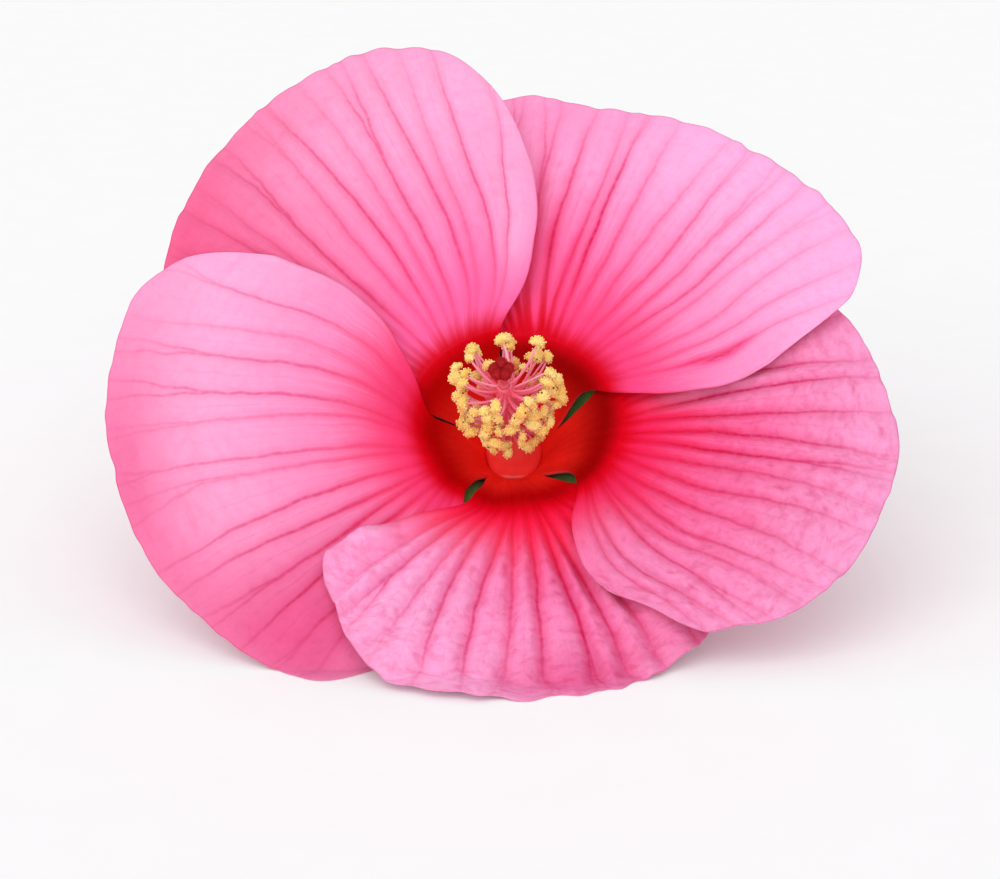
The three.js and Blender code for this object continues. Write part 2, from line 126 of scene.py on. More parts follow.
def noise(x: Array, y: Array, seed: float = 0.0) -> Array:
    """Smooth noise from -1 to 1: a hashed value at each whole (x, y), eased in between.

    Args:
        x: First coordinate, in cells.
        y: Second coordinate, in cells.
        seed: Picks another pattern.

    Returns:
        The noise, in the shape of x and y together.
    """
    x, y = np.broadcast_arrays(np.asarray(x, float), np.asarray(y, float))
    i, j = np.floor(x), np.floor(y)
    fx, fy = ease(x - i), ease(y - j)
    low = hashed(i, j, seed) * (1 - fx) + hashed(i + 1, j, seed) * fx
    high = hashed(i, j + 1, seed) * (1 - fx) + hashed(i + 1, j + 1, seed) * fx
    return low * (1 - fy) + high * fy


def unit(vectors: Array) -> Array:
    """The vectors at length 1."""
    length = np.linalg.norm(vectors, axis=-1, keepdims=True)
    return vectors / np.maximum(length, 1e-12)


def level_beside(direction: Array) -> Array:
    """An axis well away from each direction: z, or x where the direction is near z."""
    return np.where(np.abs(direction[..., 2:]) > 0.9, [1.0, 0.0, 0.0], [0.0, 0.0, 1.0])


def polar(radius: Array, azimuth: Array, height: Array) -> Array:
    """Points round the flower's axis, the azimuth in radians."""
    radius, azimuth, height = np.broadcast_arrays(radius, azimuth, height)
    return np.stack([radius * np.cos(azimuth), radius * np.sin(azimuth), height], -1)


def arch(start: Array, bow: Array, end: Array, steps: int) -> Array:
    """Parabolic arches: the square-weighted mean of start, bow and end, at some steps from 0 to 1."""
    t = np.linspace(0, 1, steps)[None, :, None]
    return (1 - t) ** 2 * start[:, None] + 2 * t * (1 - t) * bow[:, None] + t * t * end[:, None]


def scattered(count: int) -> Array:
    """Directions spread evenly over a ball, on a golden-angle spiral from pole to pole."""
    z = 1 - 2 * (np.arange(count) + 0.5) / count
    return polar(np.sqrt(1 - z * z), np.arange(count) * GOLDEN_TURN, z)


def paint(code: str) -> tuple[float, float, float, float]:
    """A given colour as the linear colour that a shader takes.

    Args:
        code: Its red, green and blue, such as "f07aa5".

    Returns:
        The linear red, green and blue, and 1.
    """
    shares = np.array([int(code[i : i + 2], 16) / 255 for i in (0, 2, 4)])
    linear = np.where(shares <= 0.04045, shares / 12.92, ((shares + 0.055) / 1.055) ** 2.4)
    return (*(float(c) for c in linear), 1.0)


# ------------------------------------------------------------------ the flower's frame


@dataclass(frozen=True)
class FlowerFrame:
    """How the flower lies on the table."""

    tilt: float = 40.0  # degrees between the column and the vertical
    throat: tuple[float, float, float] = (2.0543, 18.0016, 20.3)  # its bottom, mm

    @property
    def turn(self) -> Array:
        """The rotation from the flower's frame to the table's."""
        c, s = math.cos(math.radians(self.tilt)), math.sin(math.radians(self.tilt))
        return np.array([[1, 0, 0], [0, c, -s], [0, s, c]])

    @property
    def up(self) -> Array:
        """The table's upward direction, in the flower's frame."""
        return self.turn[2]

    def on_table(self, points: Array) -> Array:
        """Points of the flower's frame in metres in the table's frame."""
        return (points @ self.turn.T + np.array(self.throat)) * MM

    def from_table(self, points: Array) -> Array:
        """Points given from the throat along the table's axes, in the flower's frame."""
        return np.asarray(points, float) @ self.turn


LIE = FlowerFrame()


@dataclass(frozen=True)
class Bowl:
    """The surface that the petals share: an exponential throat, then a slope that falls back."""

    start: float = 6.8  # radius at which the petals' claws begin, mm
    foot: float = 6.5  # height there, mm
    throat: float = 16.7  # how far the throat climbs, mm
    reach: float = 13.0  # radius over which it does most of that, mm
    slope: float = 0.26
    fall: float = 0.0015  # how fast the slope falls back, per mm

    def height(self, radius: Array) -> Array:
        """The bowl's height: its foot, the throat's climb and the slope.

        Args:
            radius: Distance from the flower's axis, mm.

        Returns:
            The height, mm.
        """
        out = radius - self.start
        climb = self.throat * (1 - np.exp(-out / self.reach))
        return self.foot + climb + self.slope * out - self.fall * out * out


BOWL = Bowl()


# ------------------------------------------------------------------ surfaces and meshes


@dataclass
class Surface:
    """Points, triangles and quads, and values that belong to each point."""

    points: Array
    quads: Array = field(default_factory=lambda: np.zeros((0, 4), int))
    triangles: Array = field(default_factory=lambda: np.zeros((0, 3), int))
    values: dict[str, Array] = field(default_factory=dict)

    def joined(self, *others: "Surface") -> "Surface":
        """One surface of this one and others, with the values that all of them carry.

        Args:
            others: The other surfaces.

        Returns:
            The whole.
        """
        parts = [self, *others]
        starts = np.cumsum([0] + [len(p.points) for p in parts[:-1]])
        shared = [key for key in self.values if all(key in p.values for p in parts)]
        return Surface(
            np.concatenate([p.points for p in parts]),
            np.concatenate([p.quads + s for p, s in zip(parts, starts)]),
            np.concatenate([p.triangles + s for p, s in zip(parts, starts)]),
            {key: np.concatenate([p.values[key] for p in parts]) for key in shared},
        )


def grid_quads(columns: int, rows: int, around: bool = False) -> Array:
    """Quads over a grid of points, counter-clockwise for columns x rows.

    Args:
        columns: Number of points across; the index of point (i, j) is i * rows + j.
        rows: Number of points along.
        around: Whether the last column meets the first.

    Returns:
        The quads' point indices.
    """
    i, j = np.meshgrid(np.arange(columns - (not around)), np.arange(rows - 1), indexing="ij")
    k = (i + 1) % columns
    quads = np.stack([i * rows + j, k * rows + j, k * rows + j + 1, i * rows + j + 1], -1)
    return quads.reshape(-1, 4)


def fan(hub: int, ring: Array) -> Array:
    """Triangles between one point and a ring of points, in the ring's order."""
    return np.stack([np.full(len(ring), hub), ring, np.roll(ring, -1)], -1)


def shell(front: Array, back: Array, values: dict[str, Array]) -> Surface:
    """A closed shell between two grids of points of the same shape.

    Args:
        front: The face that columns x rows looks out of, columns x rows x 3.
        back: The other face.
        values: Values of each grid point; "back" is added, 0 in front and 1 behind.

    Returns:
        The shell, its four borders closed by strips.
    """
    columns, rows = front.shape[:2]
    count = columns * rows
    face = grid_quads(columns, rows)
    i, j = np.arange(columns - 1), np.arange(rows - 1)
    near, far, left, right = i * rows, i * rows + rows - 1, j, (columns - 1) * rows + j
    strips = [
        np.stack([near + count, near + rows + count, near + rows, near], -1),
        np.stack([far, far + rows, far + rows + count, far + count], -1),
        np.stack([left, left + 1, left + 1 + count, left + count], -1),
        np.stack([right + count, right + 1 + count, right + 1, right], -1),
    ]
    both = {k: np.concatenate([v.ravel(), v.ravel()]) for k, v in values.items()}
    both["back"] = np.repeat([0.0, 1.0], count)
    points = np.concatenate([front.reshape(-1, 3), back.reshape(-1, 3)])
    return Surface(points, np.concatenate([face, face[:, ::-1] + count, *strips]), values=both)


def tubes(paths: Array, radii: Array, sides: int, values: dict[str, Array] | None = None) -> Surface:
    """Many closed tubes at once, each along its own path.

    A ring stands square to the path at each of its points, and both ends close in a point.

    Args:
        paths: Tubes x points x 3.
        radii: Tubes x points, or tubes x points x sides for a section that isn't round.
        sides: Points of a ring.
        values: Values of each path point, tubes x points.

    Returns:
        The tubes as one surface; "along" runs from 0 to 1 on each tube.
    """
    count, steps = paths.shape[:2]
    ahead = unit(np.gradient(paths, axis=1))
    across = unit(np.cross(level_beside(ahead), ahead))
    upward = np.cross(ahead, across)
    angle = np.arange(sides) * FULL_TURN / sides
    wide = radii[..., None] if radii.ndim == 2 else radii
    spokes = across[:, :, None] * np.cos(angle)[:, None] + upward[:, :, None] * np.sin(angle)[:, None]
    rings = paths[:, :, None] + spokes * wide[..., None]
    ends = np.stack([paths[:, 0], paths[:, -1]], 1)
    points = np.concatenate([rings.reshape(count, -1, 3), ends], 1)
    quads = grid_quads(sides, steps, around=True)
    quads = quads % steps * sides + quads // steps  # a tube's points go ring by ring
    first, ring = steps * sides, np.arange(sides)
    caps = np.concatenate([fan(first, ring[::-1]), fan(first + 1, ring + (steps - 1) * sides)])
    offsets = np.arange(count)[:, None, None] * (steps * sides + 2)
    found = {"along": np.broadcast_to(np.linspace(0, 1, steps), (count, steps)), **(values or {})}
    spread = {
        key: np.concatenate([np.repeat(v, sides, axis=1), v[:, [0, -1]]], 1).ravel()
        for key, v in found.items()
    }
    return Surface(
        points.reshape(-1, 3), (quads + offsets).reshape(-1, 4), (caps + offsets).reshape(-1, 3), spread,
    )


def ball(columns: int, rows: int) -> Surface:
    """A unit ball: rings of points between two poles, at their longitude and latitude.

    Args:
        columns: Points round a ring.
        rows: Rings between the poles.

    Returns:
        The ball, without values.
    """
    latitude = np.linspace(-math.pi / 2, math.pi / 2, rows + 2)[1:-1]
    longitude = np.arange(columns) * FULL_TURN / columns
    body = polar(np.cos(latitude)[None], longitude[:, None], np.sin(latitude)[None])
    points = np.concatenate([body.reshape(-1, 3), [[0, 0, -1], [0, 0, 1]]])
    low, ring = columns * rows, np.arange(columns) * rows
    caps = np.concatenate([fan(low, ring[::-1]), fan(low + 1, ring + rows - 1)])
    return Surface(points, grid_quads(columns, rows, around=True), caps)


def copies(shape: Surface, at: Array, frames: Array, values: dict[str, Array]) -> Surface:
    """Copies of one shape, each turned and scaled by its own 3 x 3 frame.

    Args:
        shape: The shape, round its own origin.
        at: Copies x 3.
        frames: Copies x 3 x 3, the rows being where x, y and z go.
        values: One value of each name for each copy, copies long.

    Returns:
        All the copies as one surface.
    """
    count, size = len(at), len(shape.points)
    points = np.einsum("pi,kij->kpj", shape.points, frames) + at[:, None]
    offsets = np.arange(count)[:, None, None] * size
    return Surface(
        points.reshape(-1, 3),
        (shape.quads + offsets).reshape(-1, 4),
        (shape.triangles + offsets).reshape(-1, 3),
        {k: np.repeat(v, size) for k, v in values.items()},
    )


def frames_along(direction: Array, spin: Array) -> Array:
    """Frames whose z runs along given directions.

    Args:
        direction: Where each frame's z points.
        spin: How far each frame is turned about its z, radians.

    Returns:
        Frames x 3 x 3, the rows being the frame's x, y and z.
    """
    z = unit(direction)
    x = unit(np.cross(level_beside(z), z))
    y = np.cross(z, x)
    c, s = np.cos(spin)[:, None], np.sin(spin)[:, None]
    return np.stack([x * c + y * s, y * c - x * s, z], 1)


class Slot(Enum):
    """Material slots."""

    PETAL = "petal"
    STAMENS = "stamens"
    PISTIL = "pistil"
    CALYX = "calyx"
    STALK = "stalk"


def make_piece(name: str, surface: Surface, finish: "Skin", node: str) -> None:
    """Puts a surface into the scene as a finished piece in place of a solid node.

    Args:
        name: The piece's name.
        surface: Its points in the flower's frame, mm.
        finish: Its skin.
        node: The solid node that it stands for.
    """
    mesh = bpy.data.meshes.new(name)
    points = LIE.on_table(surface.points).astype(np.float32)
    quads, triangles = surface.quads, surface.triangles
    mesh.vertices.add(len(points))
    mesh.vertices.foreach_set("co", points.ravel())
    corners = np.concatenate([quads.ravel(), triangles.ravel()]).astype(np.int32)
    mesh.loops.add(len(corners))
    mesh.loops.foreach_set("vertex_index", corners)
    sizes = np.concatenate([np.full(len(quads), 4), np.full(len(triangles), 3)])
    mesh.polygons.add(len(sizes))
    mesh.polygons.foreach_set("loop_start", (np.cumsum(sizes) - sizes).astype(np.int32))
    mesh.polygons.foreach_set("use_smooth", np.ones(len(sizes), bool))
    for key, value in surface.values.items():
        layer = mesh.attributes.new(key, "FLOAT", "POINT")
        layer.data.foreach_set("value", value.astype(np.float32))
    mesh.materials.append(finish.material)
    mesh.update(calc_edges=True)
    mesh.validate()
    piece = bpy.data.objects.new(name, mesh)
    bpy.context.scene.collection.objects.link(piece)
    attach(piece, "root")
    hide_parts(node)
    LOG.info("%s: %d points, %d faces", name, len(points), len(sizes))


# ------------------------------------------------------------------ shader helpers


class Nodes:
    """Adds nodes to one node tree and wires them.

    Wherever a method takes a value, that is a number, a vector, a colour or another socket.
    """

    def __init__(self, tree: bpy.types.NodeTree) -> None:
        """Starts on a tree."""
        self.tree = tree

    def add(self, kind: str, **settings: object) -> bpy.types.Node:
        """A new node.

        Args:
            kind: Its type.
            settings: Values of the node's own properties.

        Returns:
            The node.
        """
        node = self.tree.nodes.new(kind)
        for key, value in settings.items():
            setattr(node, key, value)
        return node

    def feed(self, socket: Socket, value: object) -> None:
        """Wires a socket to another, or sets it.

        Args:
            socket: The socket to feed.
            value: Another socket, or a number, a vector or a colour.
        """
        if isinstance(value, Socket):
            self.tree.links.new(value, socket)
        else:
            socket.default_value = value

    def fed(self, kind: str, values: dict[object, object], **settings: object) -> bpy.types.Node:
        """A new node with some of its inputs fed.

        Args:
            kind: Its type.
            values: What feeds each input, by the input's number or name.
            settings: Values of the node's own properties.

        Returns:
            The node.
        """
        node = self.add(kind, **settings)
        for key, value in values.items():
            self.feed(node.inputs[key], value)
        return node

    def math(self, operation: str, *values: object) -> Socket:
        """The result of one Math node."""
        return self.fed("ShaderNodeMath", dict(enumerate(values)), operation=operation).outputs[0]

    def times(self, a: object, b: object) -> Socket:
        """One value times another."""
        return self.math("MULTIPLY", a, b)

    def line(self, value: object, slope: object, start: object) -> Socket:
        """A value times a slope, plus a start."""
        return self.math("MULTIPLY_ADD", value, slope, start)

    def clip(self, value: object) -> Socket:
        """A value kept between 0 and 1."""
        return self.math("MINIMUM", self.math("MAXIMUM", value, 0.0), 1.0)

    def ramp(
        self, value: object, start: object, end: object, low: float = 0.0, high: float = 1.0,
    ) -> Socket:
        """An S-shaped step from low at start to high at end."""
        given = dict(enumerate((value, start, end, low, high)))
        return self.fed("ShaderNodeMapRange", given, interpolation_type="SMOOTHSTEP").outputs[0]

    def mix(self, share: object, a: object, b: object, mode: str = "MIX") -> Socket:
        """Two colours mixed."""
        given = {0: share, 6: a, 7: b}
        return self.fed("ShaderNodeMix", given, data_type="RGBA", blend_type=mode).outputs[2]

    def value(self, name: str) -> Socket:
        """One of the piece's own point values."""
        return self.add("ShaderNodeAttribute", attribute_name=name).outputs["Fac"]

    def scale(self, vector: object, factor: object) -> Socket:
        """A vector or a colour times a number."""
        given = {0: vector, "Scale": factor}
        return self.fed("ShaderNodeVectorMath", given, operation="SCALE").outputs[0]

    def grain(self, vector: object, scale: float, detail: float = 2.0, rough: float = 0.5) -> Socket:
        """Noise of a scale, from 0 to 1."""
        given = {"Vector": vector, "Scale": scale, "Detail": detail, "Roughness": rough}
        return self.fed("ShaderNodeTexNoise", given).outputs["Fac"]

    def drawn(
        self, across: object, along: object, seed: float = 0.0, detail: float = 2.0, rough: float = 0.5,
    ) -> Socket:
        """Noise on two values of the piece, with one cell for each whole number of either."""
        spot = self.fed("ShaderNodeCombineXYZ", {0: across, 1: along, 2: seed}).outputs[0]
        return self.grain(spot, 1.0, detail, rough)

    def place(self) -> Socket:
        """The piece's own coordinates, metres."""
        return self.add("ShaderNodeTexCoord").outputs["Object"]

    def group(self, tree: bpy.types.NodeTree, **inputs: object) -> bpy.types.Node:
        """A node group with some of its inputs fed; names hold _ for a space."""
        values = {key.replace("_", " "): value for key, value in inputs.items()}
        return self.fed("ShaderNodeGroup", values, node_tree=tree)


class Group(Nodes):
    """A new shader node group, with its own input and output nodes."""

    def __init__(self, name: str, inputs: dict[str, str], outputs: dict[str, str]) -> None:
        """Makes the group and its sockets.

        Args:
            name: The group's name.
            inputs: Type of each input: "Float", "Color" or "Vector".
            outputs: The same of each output.
        """
        super().__init__(bpy.data.node_groups.new(name, "ShaderNodeTree"))
        for side, sockets in (("INPUT", inputs), ("OUTPUT", outputs)):
            for key, kind in sockets.items():
                self.tree.interface.new_socket(key, in_out=side, socket_type=f"NodeSocket{kind}")
        self.given = self.add("NodeGroupInput").outputs
        self.out = self.add("NodeGroupOutput").inputs


class Effects:
    """The shader node groups that several finishes share, each built once."""

    # each colour of the eye, and where it comes in and is full, in shares of the eye's radius
    eye_bands = (
        ("Dark", 0.42, 0.82), ("Red", 0.82, 1.0), ("Hot", 0.94, 1.16), ("Pink", 1.08, 2.0),
        ("Pale", 1.6, 3.3),
    )

    def __init__(self) -> None:
        """Builds the groups."""
        self.veins = self._veins()
        self.stain = self._stain()
        self.mottle = self._mottle()

    @staticmethod
    def _veins() -> bpy.types.NodeTree:
        """Lines at every whole vein number, each splitting in two where its fork opens.

        Returns:
            The group: a sharp line and a soft trough round it, from their widths in mm.
        """
        inputs = ("Vein", "Gap", "Fork Low", "Fork High", "Width", "Halo Width")
        n = Group("VeinLines", dict.fromkeys(inputs, "Float"), {"Core": "Float", "Halo": "Float"})
        g = n.given
        offset = n.math("SUBTRACT", g["Vein"], n.math("ROUND", g["Vein"]))
        high = n.math("ABSOLUTE", n.math("SUBTRACT", offset, g["Fork High"]))
        low = n.math("ABSOLUTE", n.math("ADD", offset, g["Fork Low"]))
        distance = n.times(n.math("MINIMUM", high, low), g["Gap"])
        n.feed(n.out["Core"], n.ramp(distance, 0.0, g["Width"], 1.0, 0.0))
        n.feed(n.out["Halo"], n.ramp(distance, 0.0, g["Halo Width"], 1.0, 0.0))
        return n.tree

    def _stain(self) -> bpy.types.NodeTree:
        """The eye's colour by distance from the column: dark, red, hot pink, pink, pale.

        Returns:
            The group.
        """
        colours = dict.fromkeys(("Foot", *(band[0] for band in self.eye_bands)), "Color")
        n = Group("EyeStain", {"Reach": "Float", "Eye": "Float", **colours}, {"Color": "Color"})
        share = n.math("DIVIDE", n.given["Reach"], n.given["Eye"])
        colour = n.given["Foot"]
        for key, start, end in self.eye_bands:
            colour = n.mix(n.ramp(share, start, end), colour, n.given[key])
        n.feed(n.out["Color"], colour)
        return n.tree

    @staticmethod
    def _mottle() -> bpy.types.NodeTree:
        """Soft patches, two sizes together, from -1 to 1.

        Returns:
            The group.
        """
        n = Group("Mottle", {"Vector": "Vector", "Size": "Float"}, {"Mask": "Float"})
        scaled = n.scale(n.given["Vector"], n.math("DIVIDE", 1.0, n.given["Size"]))
        total = n.line(n.grain(scaled, 4.3, 3.0), 0.45, n.grain(scaled, 1.0))
        n.feed(n.out["Mask"], n.line(total, 3.0, -2.175))  # the sum's middle comes to 0
        return n.tree


class Skin(Nodes):
    """A material: one Principled shader, and the nodes that feed it."""

    def __init__(self, name: str, **constants: object) -> None:
        """Makes the material.

        Args:
            name: Its name.
            constants: Values of the shader's own sockets, with _ for a space in a name.
        """
        self.material = bpy.data.materials.new(name)
        self.material.use_nodes = True
        super().__init__(self.material.node_tree)
        self.shader = self.tree.nodes["Principled BSDF"]
        for key, value in constants.items():
            self.shader.inputs[key.replace("_", " ")].default_value = value

    def dress(
        self, colour: Socket, roughness: Socket | None = None, height: Socket | None = None,
        depth: float = 0.0,
    ) -> None:
        """Feeds the shader.

        Args:
            colour: The base colour.
            roughness: The roughness, unless it is a constant.
            height: The fine relief, between 0 and 1, if there is any.
            depth: What a height of 1 stands for, in metres.
        """
        self.feed(self.shader.inputs["Base Color"], colour)
        if roughness:
            self.feed(self.shader.inputs["Roughness"], roughness)
        if height:
            bump = self.fed("ShaderNodeBump", {"Strength": 1.0, "Distance": depth, "Height": height})
            self.feed(self.shader.inputs["Normal"], bump.outputs[0])


# ------------------------------------------------------------------ petals


@dataclass(frozen=True)
class Fold:
    """A soft swell or dip on a petal, drawn out along it."""

    side: float  # its middle, between the hidden edge (-1) and the free edge (+1)
    reach: float  # radius of its middle, mm
    wide: float  # its half-width, in the same share as side
    long: float  # its half-length, mm
    height: float  # mm, negative for a dip

    def over(self, side: Array, reach: Array) -> Array:
        """Its height at points of the petal."""
        return self.height * hump(side, self.side, self.wide) * hump(reach, self.reach, self.long)


class BlushAndShade(Fold):
    """A soft patch where a petal is deeper (+) or paler (-) in colour, its height being how much. It is
    partly the petal's own tone, partly painted shade where a petal lies under a neighbour or turns away,
    and painted light that lifts the shadows under the overlaps.
    """


@dataclass(frozen=True)
class PetalDyes:
    """The colours that all petals share."""

    foot: str = "fc2a20"  # of the eye, beside the column
    red: str = "dc001a"  # of the eye's border
    eye_vein: str = "ee5074"  # multiplies the colour along a vein near the eye
    vein: str = "dc5a96"  # the same on the blade, and as painted shade in the wrinkles' hollows
    painted_crest_highlight: str = "fcb4d4"  # a painted highlight on the wrinkles' tops
    mauve: str = "d4709c"
    back: str = "fbd3e2"


DYES = PetalDyes()


@dataclass(frozen=True)
class PetalLook:
    """What makes one petal's colour its own."""

    eye: float  # radius at which the red ends, mm
    hot: str
    pink: str
    pale: str
    deep: str  # of the deep patches: the petal's own tone, and painted shade under a neighbour
    rim: str
    veins: float = 0.7  # strength of the veins
    net: float = 0.2  # how much the cross wrinkles show
    mauve: float = 0.0  # greyish-mauve mottling
    lean: float = 0.0  # how much fainter the veins get from the hidden to the free edge
    trough: float = 0.25  # colour of the broad trough round a vein
    dark: str = "9c0002"  # the eye's dark ring


@dataclass(frozen=True)
class PetalForm:
    """One petal: the solid petal's sizes, and its veins, relief and look."""

    name: str
    azimuth: float  # of its midrib, degrees
    lift: float  # of its rim over the bowl, mm
    droop: float  # of its rim on the hidden side, mm
    free: tuple[float, ...]  # half-angles on the free side at the last five of edge_radii
    rim: tuple[float, ...]  # rim radius at rim_stations, mm
    look: PetalLook
    seed: int
    panels: int = 14  # between the main veins
    pleat: float = 0.3  # swell of the panels between the veins, mm
    crinkle: float = 0.05  # cross wrinkles, mm
    ruffle: float = 0.35  # at the rim, mm
    folds: tuple[Fold, ...] = ()
    blushes_and_shades: tuple[BlushAndShade, ...] = ()
    window: float = 1.0  # how wide the window beside the free edge of its claw is
    hidden_window: float = 1.0  # the same beside its hidden edge
    crowd: float = 0.0  # how much closer the veins stand towards the free edge
    lies_on_neighbour: bool = False


class PetalSkin(Skin):
    """One petal's satin skin: the eye's stain, the veins, the net, the mottling and the rim.

    The patterns follow what the petal's points carry: the vein number runs across the petal,
    the reach runs along it, and the edge is the distance to the border.
    """

    def __init__(self, form: PetalForm, effects: Effects) -> None:
        """Bends the veins' lines a little, and lays the patterns over each other.

        Args:
            form: The petal.
            effects: The shared node groups.
        """
        super().__init__(
            form.name, Subsurface_Weight=0.35, Subsurface_Radius=(1.0, 0.35, 0.5),
            Subsurface_Scale=0.0009, Specular_IOR_Level=0.03,
        )
        self.look, self.seed, self.effects = form.look, form.seed, effects
        self.reach, self.edge, self.blush_and_shade = (self.value(key) for key in ("reach", "edge", "blush_and_shade"))
        self.vein = self.value("vein")
        self.vein = self.math("ADD", self.vein, self.line(self.pattern(0.9, 0.16, 2.0), 0.2, -0.1))
        # The veins' colour, which also paints shade into the wrinkles' hollows.
        self.vein_stain_and_shade = paint(DYES.vein)
        self.lay()

    def pattern(
        self, across: float, along: float, seed: float, detail: float = 2.0, rough: float = 0.5,
    ) -> Socket:
        """Noise that runs along the veins.

        Args:
            across: Cells per panel.
            along: Cells per mm of reach.
            seed: Picks another pattern.
            detail: How many finer layers it has.
            rough: How much these show.

        Returns:
            The noise, from 0 to 1.
        """
        return self.drawn(
            self.times(self.vein, across), self.times(self.reach, along), seed, detail, rough,
        )

    def vein_lines(self) -> tuple[Socket, Socket]:
        """The veins' sharp lines and the soft troughs round them.

        Returns:
            The lines and the troughs, from 0 to 1.
        """
        lines = self.group(
            self.effects.veins, Vein=self.vein, Gap=self.value("gap"), Fork_Low=self.value("fork_low"),
            Fork_High=self.value("fork_high"), Width=self.ramp(self.reach, 24.0, 90.0, 0.9, 0.72),
            Halo_Width=self.ramp(self.reach, 20.0, 80.0, 2.2, 2.8),
        )
        return lines.outputs["Core"], lines.outputs["Halo"]

    def stained(self, halo: Socket) -> Socket:
        """The eye's stain, whose border runs out along the veins, with deep and pale patches that are
        partly the petal's own tone, partly painted shade and painted light.

        Args:
            halo: The troughs round the veins.

        Returns:
            The colour.
        """
        look, reach = self.look, self.reach
        deep = self.math("MAXIMUM", self.blush_and_shade, 0.0)
        streaks = self.pattern(9.0, 0.04, self.seed, 4.0, 0.7)
        pull = self.line(halo, self.line(deep, -26.0, -4.0), self.line(streaks, -17.0, 9.0))
        where = self.times(self.ramp(reach, 19.0, 48.0), self.ramp(reach, 45.0, 85.0, 1.0, 0.3))
        pulled = self.math("ADD", reach, self.times(pull, where))
        inside = self.math("MINIMUM", reach, look.eye * 0.97)
        stain = self.group(
            self.effects.stain, Reach=self.math("MAXIMUM", pulled, inside), Eye=look.eye,
            Foot=paint(DYES.foot), Dark=paint(look.dark), Red=paint(DYES.red),
            Hot=paint(look.hot), Pink=paint(look.pink), Pale=paint(look.pale),
        )
        # Deep patches: partly the petal's own tone, partly painted shade under a neighbour and where the
        # rim turns away.
        deeper = self.times(self.math("MINIMUM", deep, 1.0), self.ramp(reach, look.eye, look.eye + 18))
        colour = self.mix(deeper, stain.outputs["Color"], paint(look.deep))
        # Pale patches: partly the petal's own tone, partly painted light that lifts the shadows under the
        # overlaps.
        paler = self.times(self.clip(self.times(self.blush_and_shade, -1.0)), self.ramp(reach, 26.0, 44.0))
        return self.mix(paler, colour, paint(look.pale))

    def veined(self, colour: Socket, core: Socket, halo: Socket) -> Socket:
        """A colour with the beaded veins, finer ones between them, and their troughs.

        Args:
            colour: The petal's colour so far.
            core: The veins' lines.
            halo: The troughs round them.

        Returns:
            The colour.
        """
        lean = self.line(self.value("side"), -self.look.lean, 1.0)
        strength = self.times(self.value("bold"), self.times(lean, self.look.veins))
        strength = self.times(strength, self.ramp(self.edge, 0.0, 20.0, 0.4, 1.0))
        beads = self.pattern(1.0, 0.6, 5.0)
        core = self.times(core, self.ramp(beads, 0.3, 0.6, 0.4, 0.62))
        halfway = self.math("ADD", self.vein, 0.5)
        finer = self.group(self.effects.veins, Vein=halfway, Gap=self.value("gap"), Width=0.35)
        fine = self.times(finer.outputs["Core"], self.ramp(beads, 0.35, 0.65, 0.05, 0.24))
        core = self.line(fine, self.ramp(self.reach, 36.0, 60.0), core)
        tint = self.times(self.line(halo, self.look.trough, core), strength)
        tint = self.math("MINIMUM", self.times(tint, self.ramp(self.reach, 22.0, 52.0, 0.3, 1.0)), 1.0)
        dye = self.mix(self.ramp(self.reach, 24.0, 46.0), paint(DYES.eye_vein), self.vein_stain_and_shade)
        return self.mix(tint, colour, dye, "MULTIPLY")

    def netted(self, colour: Socket, cross: Socket) -> Socket:
        """A colour with the net between the veins, painted shade in the wrinkles' hollows and a painted
        highlight on their tops.

        Args:
            colour: The petal's colour so far.
            cross: The net's noise.

        Returns:
            The colour.
        """
        net, wrinkles = self.look.net, self.value("wrinkles")
        share = self.times(self.ramp(cross, 0.42, 0.72), self.times(self.ramp(self.reach, 30.0, 60.0), net))
        colour = self.mix(share, colour, self.vein_stain_and_shade, "MULTIPLY")
        # Painted shade in the wrinkles' hollows, then a painted highlight on their tops.
        low = self.ramp(wrinkles, 0.0, -0.9, 0.0, min(1.3 * net, 1.0))
        colour = self.mix(low, colour, self.vein_stain_and_shade, "MULTIPLY")
        return self.mix(self.ramp(wrinkles, 0.2, 1.0, 0.0, 0.6 * net), colour, paint(DYES.painted_crest_highlight))

    def flecked(self, colour: Socket) -> Socket:
        """A colour with mauve flecks in broad patches, out on the blade.

        Args:
            colour: The petal's colour so far.

        Returns:
            The colour.
        """
        fleck, broad = self.pattern(3.0, 0.42, 3.0, 5.0, 0.7), self.pattern(0.7, 0.09, 7.0)
        share = self.times(self.ramp(fleck, 0.4, 0.66), self.ramp(broad, 0.35, 0.62, 0.25, 1.0))
        share = self.times(share, self.ramp(self.reach, 32.0, 52.0, 0.0, self.look.mauve))
        return self.mix(share, colour, paint(DYES.mauve))

    def fibrous(self, colour: Socket, fibre: Socket) -> Socket:
        """A colour with lengthwise fibres, darkest in the strongest deep patch, and soft patches.

        Args:
            colour: The petal's colour so far.
            fibre: The fibres' noise.

        Returns:
            The colour.
        """
        patches = self.group(self.effects.mottle, Vector=self.place(), Size=0.012).outputs["Mask"]
        marked = self.times(self.ramp(self.blush_and_shade, 1.0, 1.7), self.ramp(fibre, 0.38, 0.56))
        colour = self.mix(self.times(marked, 0.6), colour, self.vein_stain_and_shade, "MULTIPLY")
        return self.scale(colour, self.math("ADD", self.line(patches, 0.035, 0.95), self.times(fibre, 0.1)))

    def bordered(self, colour: Socket) -> Socket:
        """A colour with a soft rim, a fine line at the very edge, and the paler back.

        Args:
            colour: The petal's colour so far.

        Returns:
            The colour.
        """
        rim = self.times(self.ramp(self.edge, 0.0, 4.0, 0.15, 0.0), self.ramp(self.reach, 34.0, 48.0))
        colour = self.mix(rim, colour, paint(self.look.rim))
        line = self.times(self.ramp(self.edge, 0.05, 0.35, 0.3, 0.0), self.ramp(self.reach, 30.0, 44.0))
        colour = self.mix(line, colour, self.vein_stain_and_shade, "MULTIPLY")
        behind = self.times(self.value("back"), self.ramp(self.reach, 14.0, 60.0, 0.15, 0.35))
        return self.mix(behind, colour, paint(DYES.back))

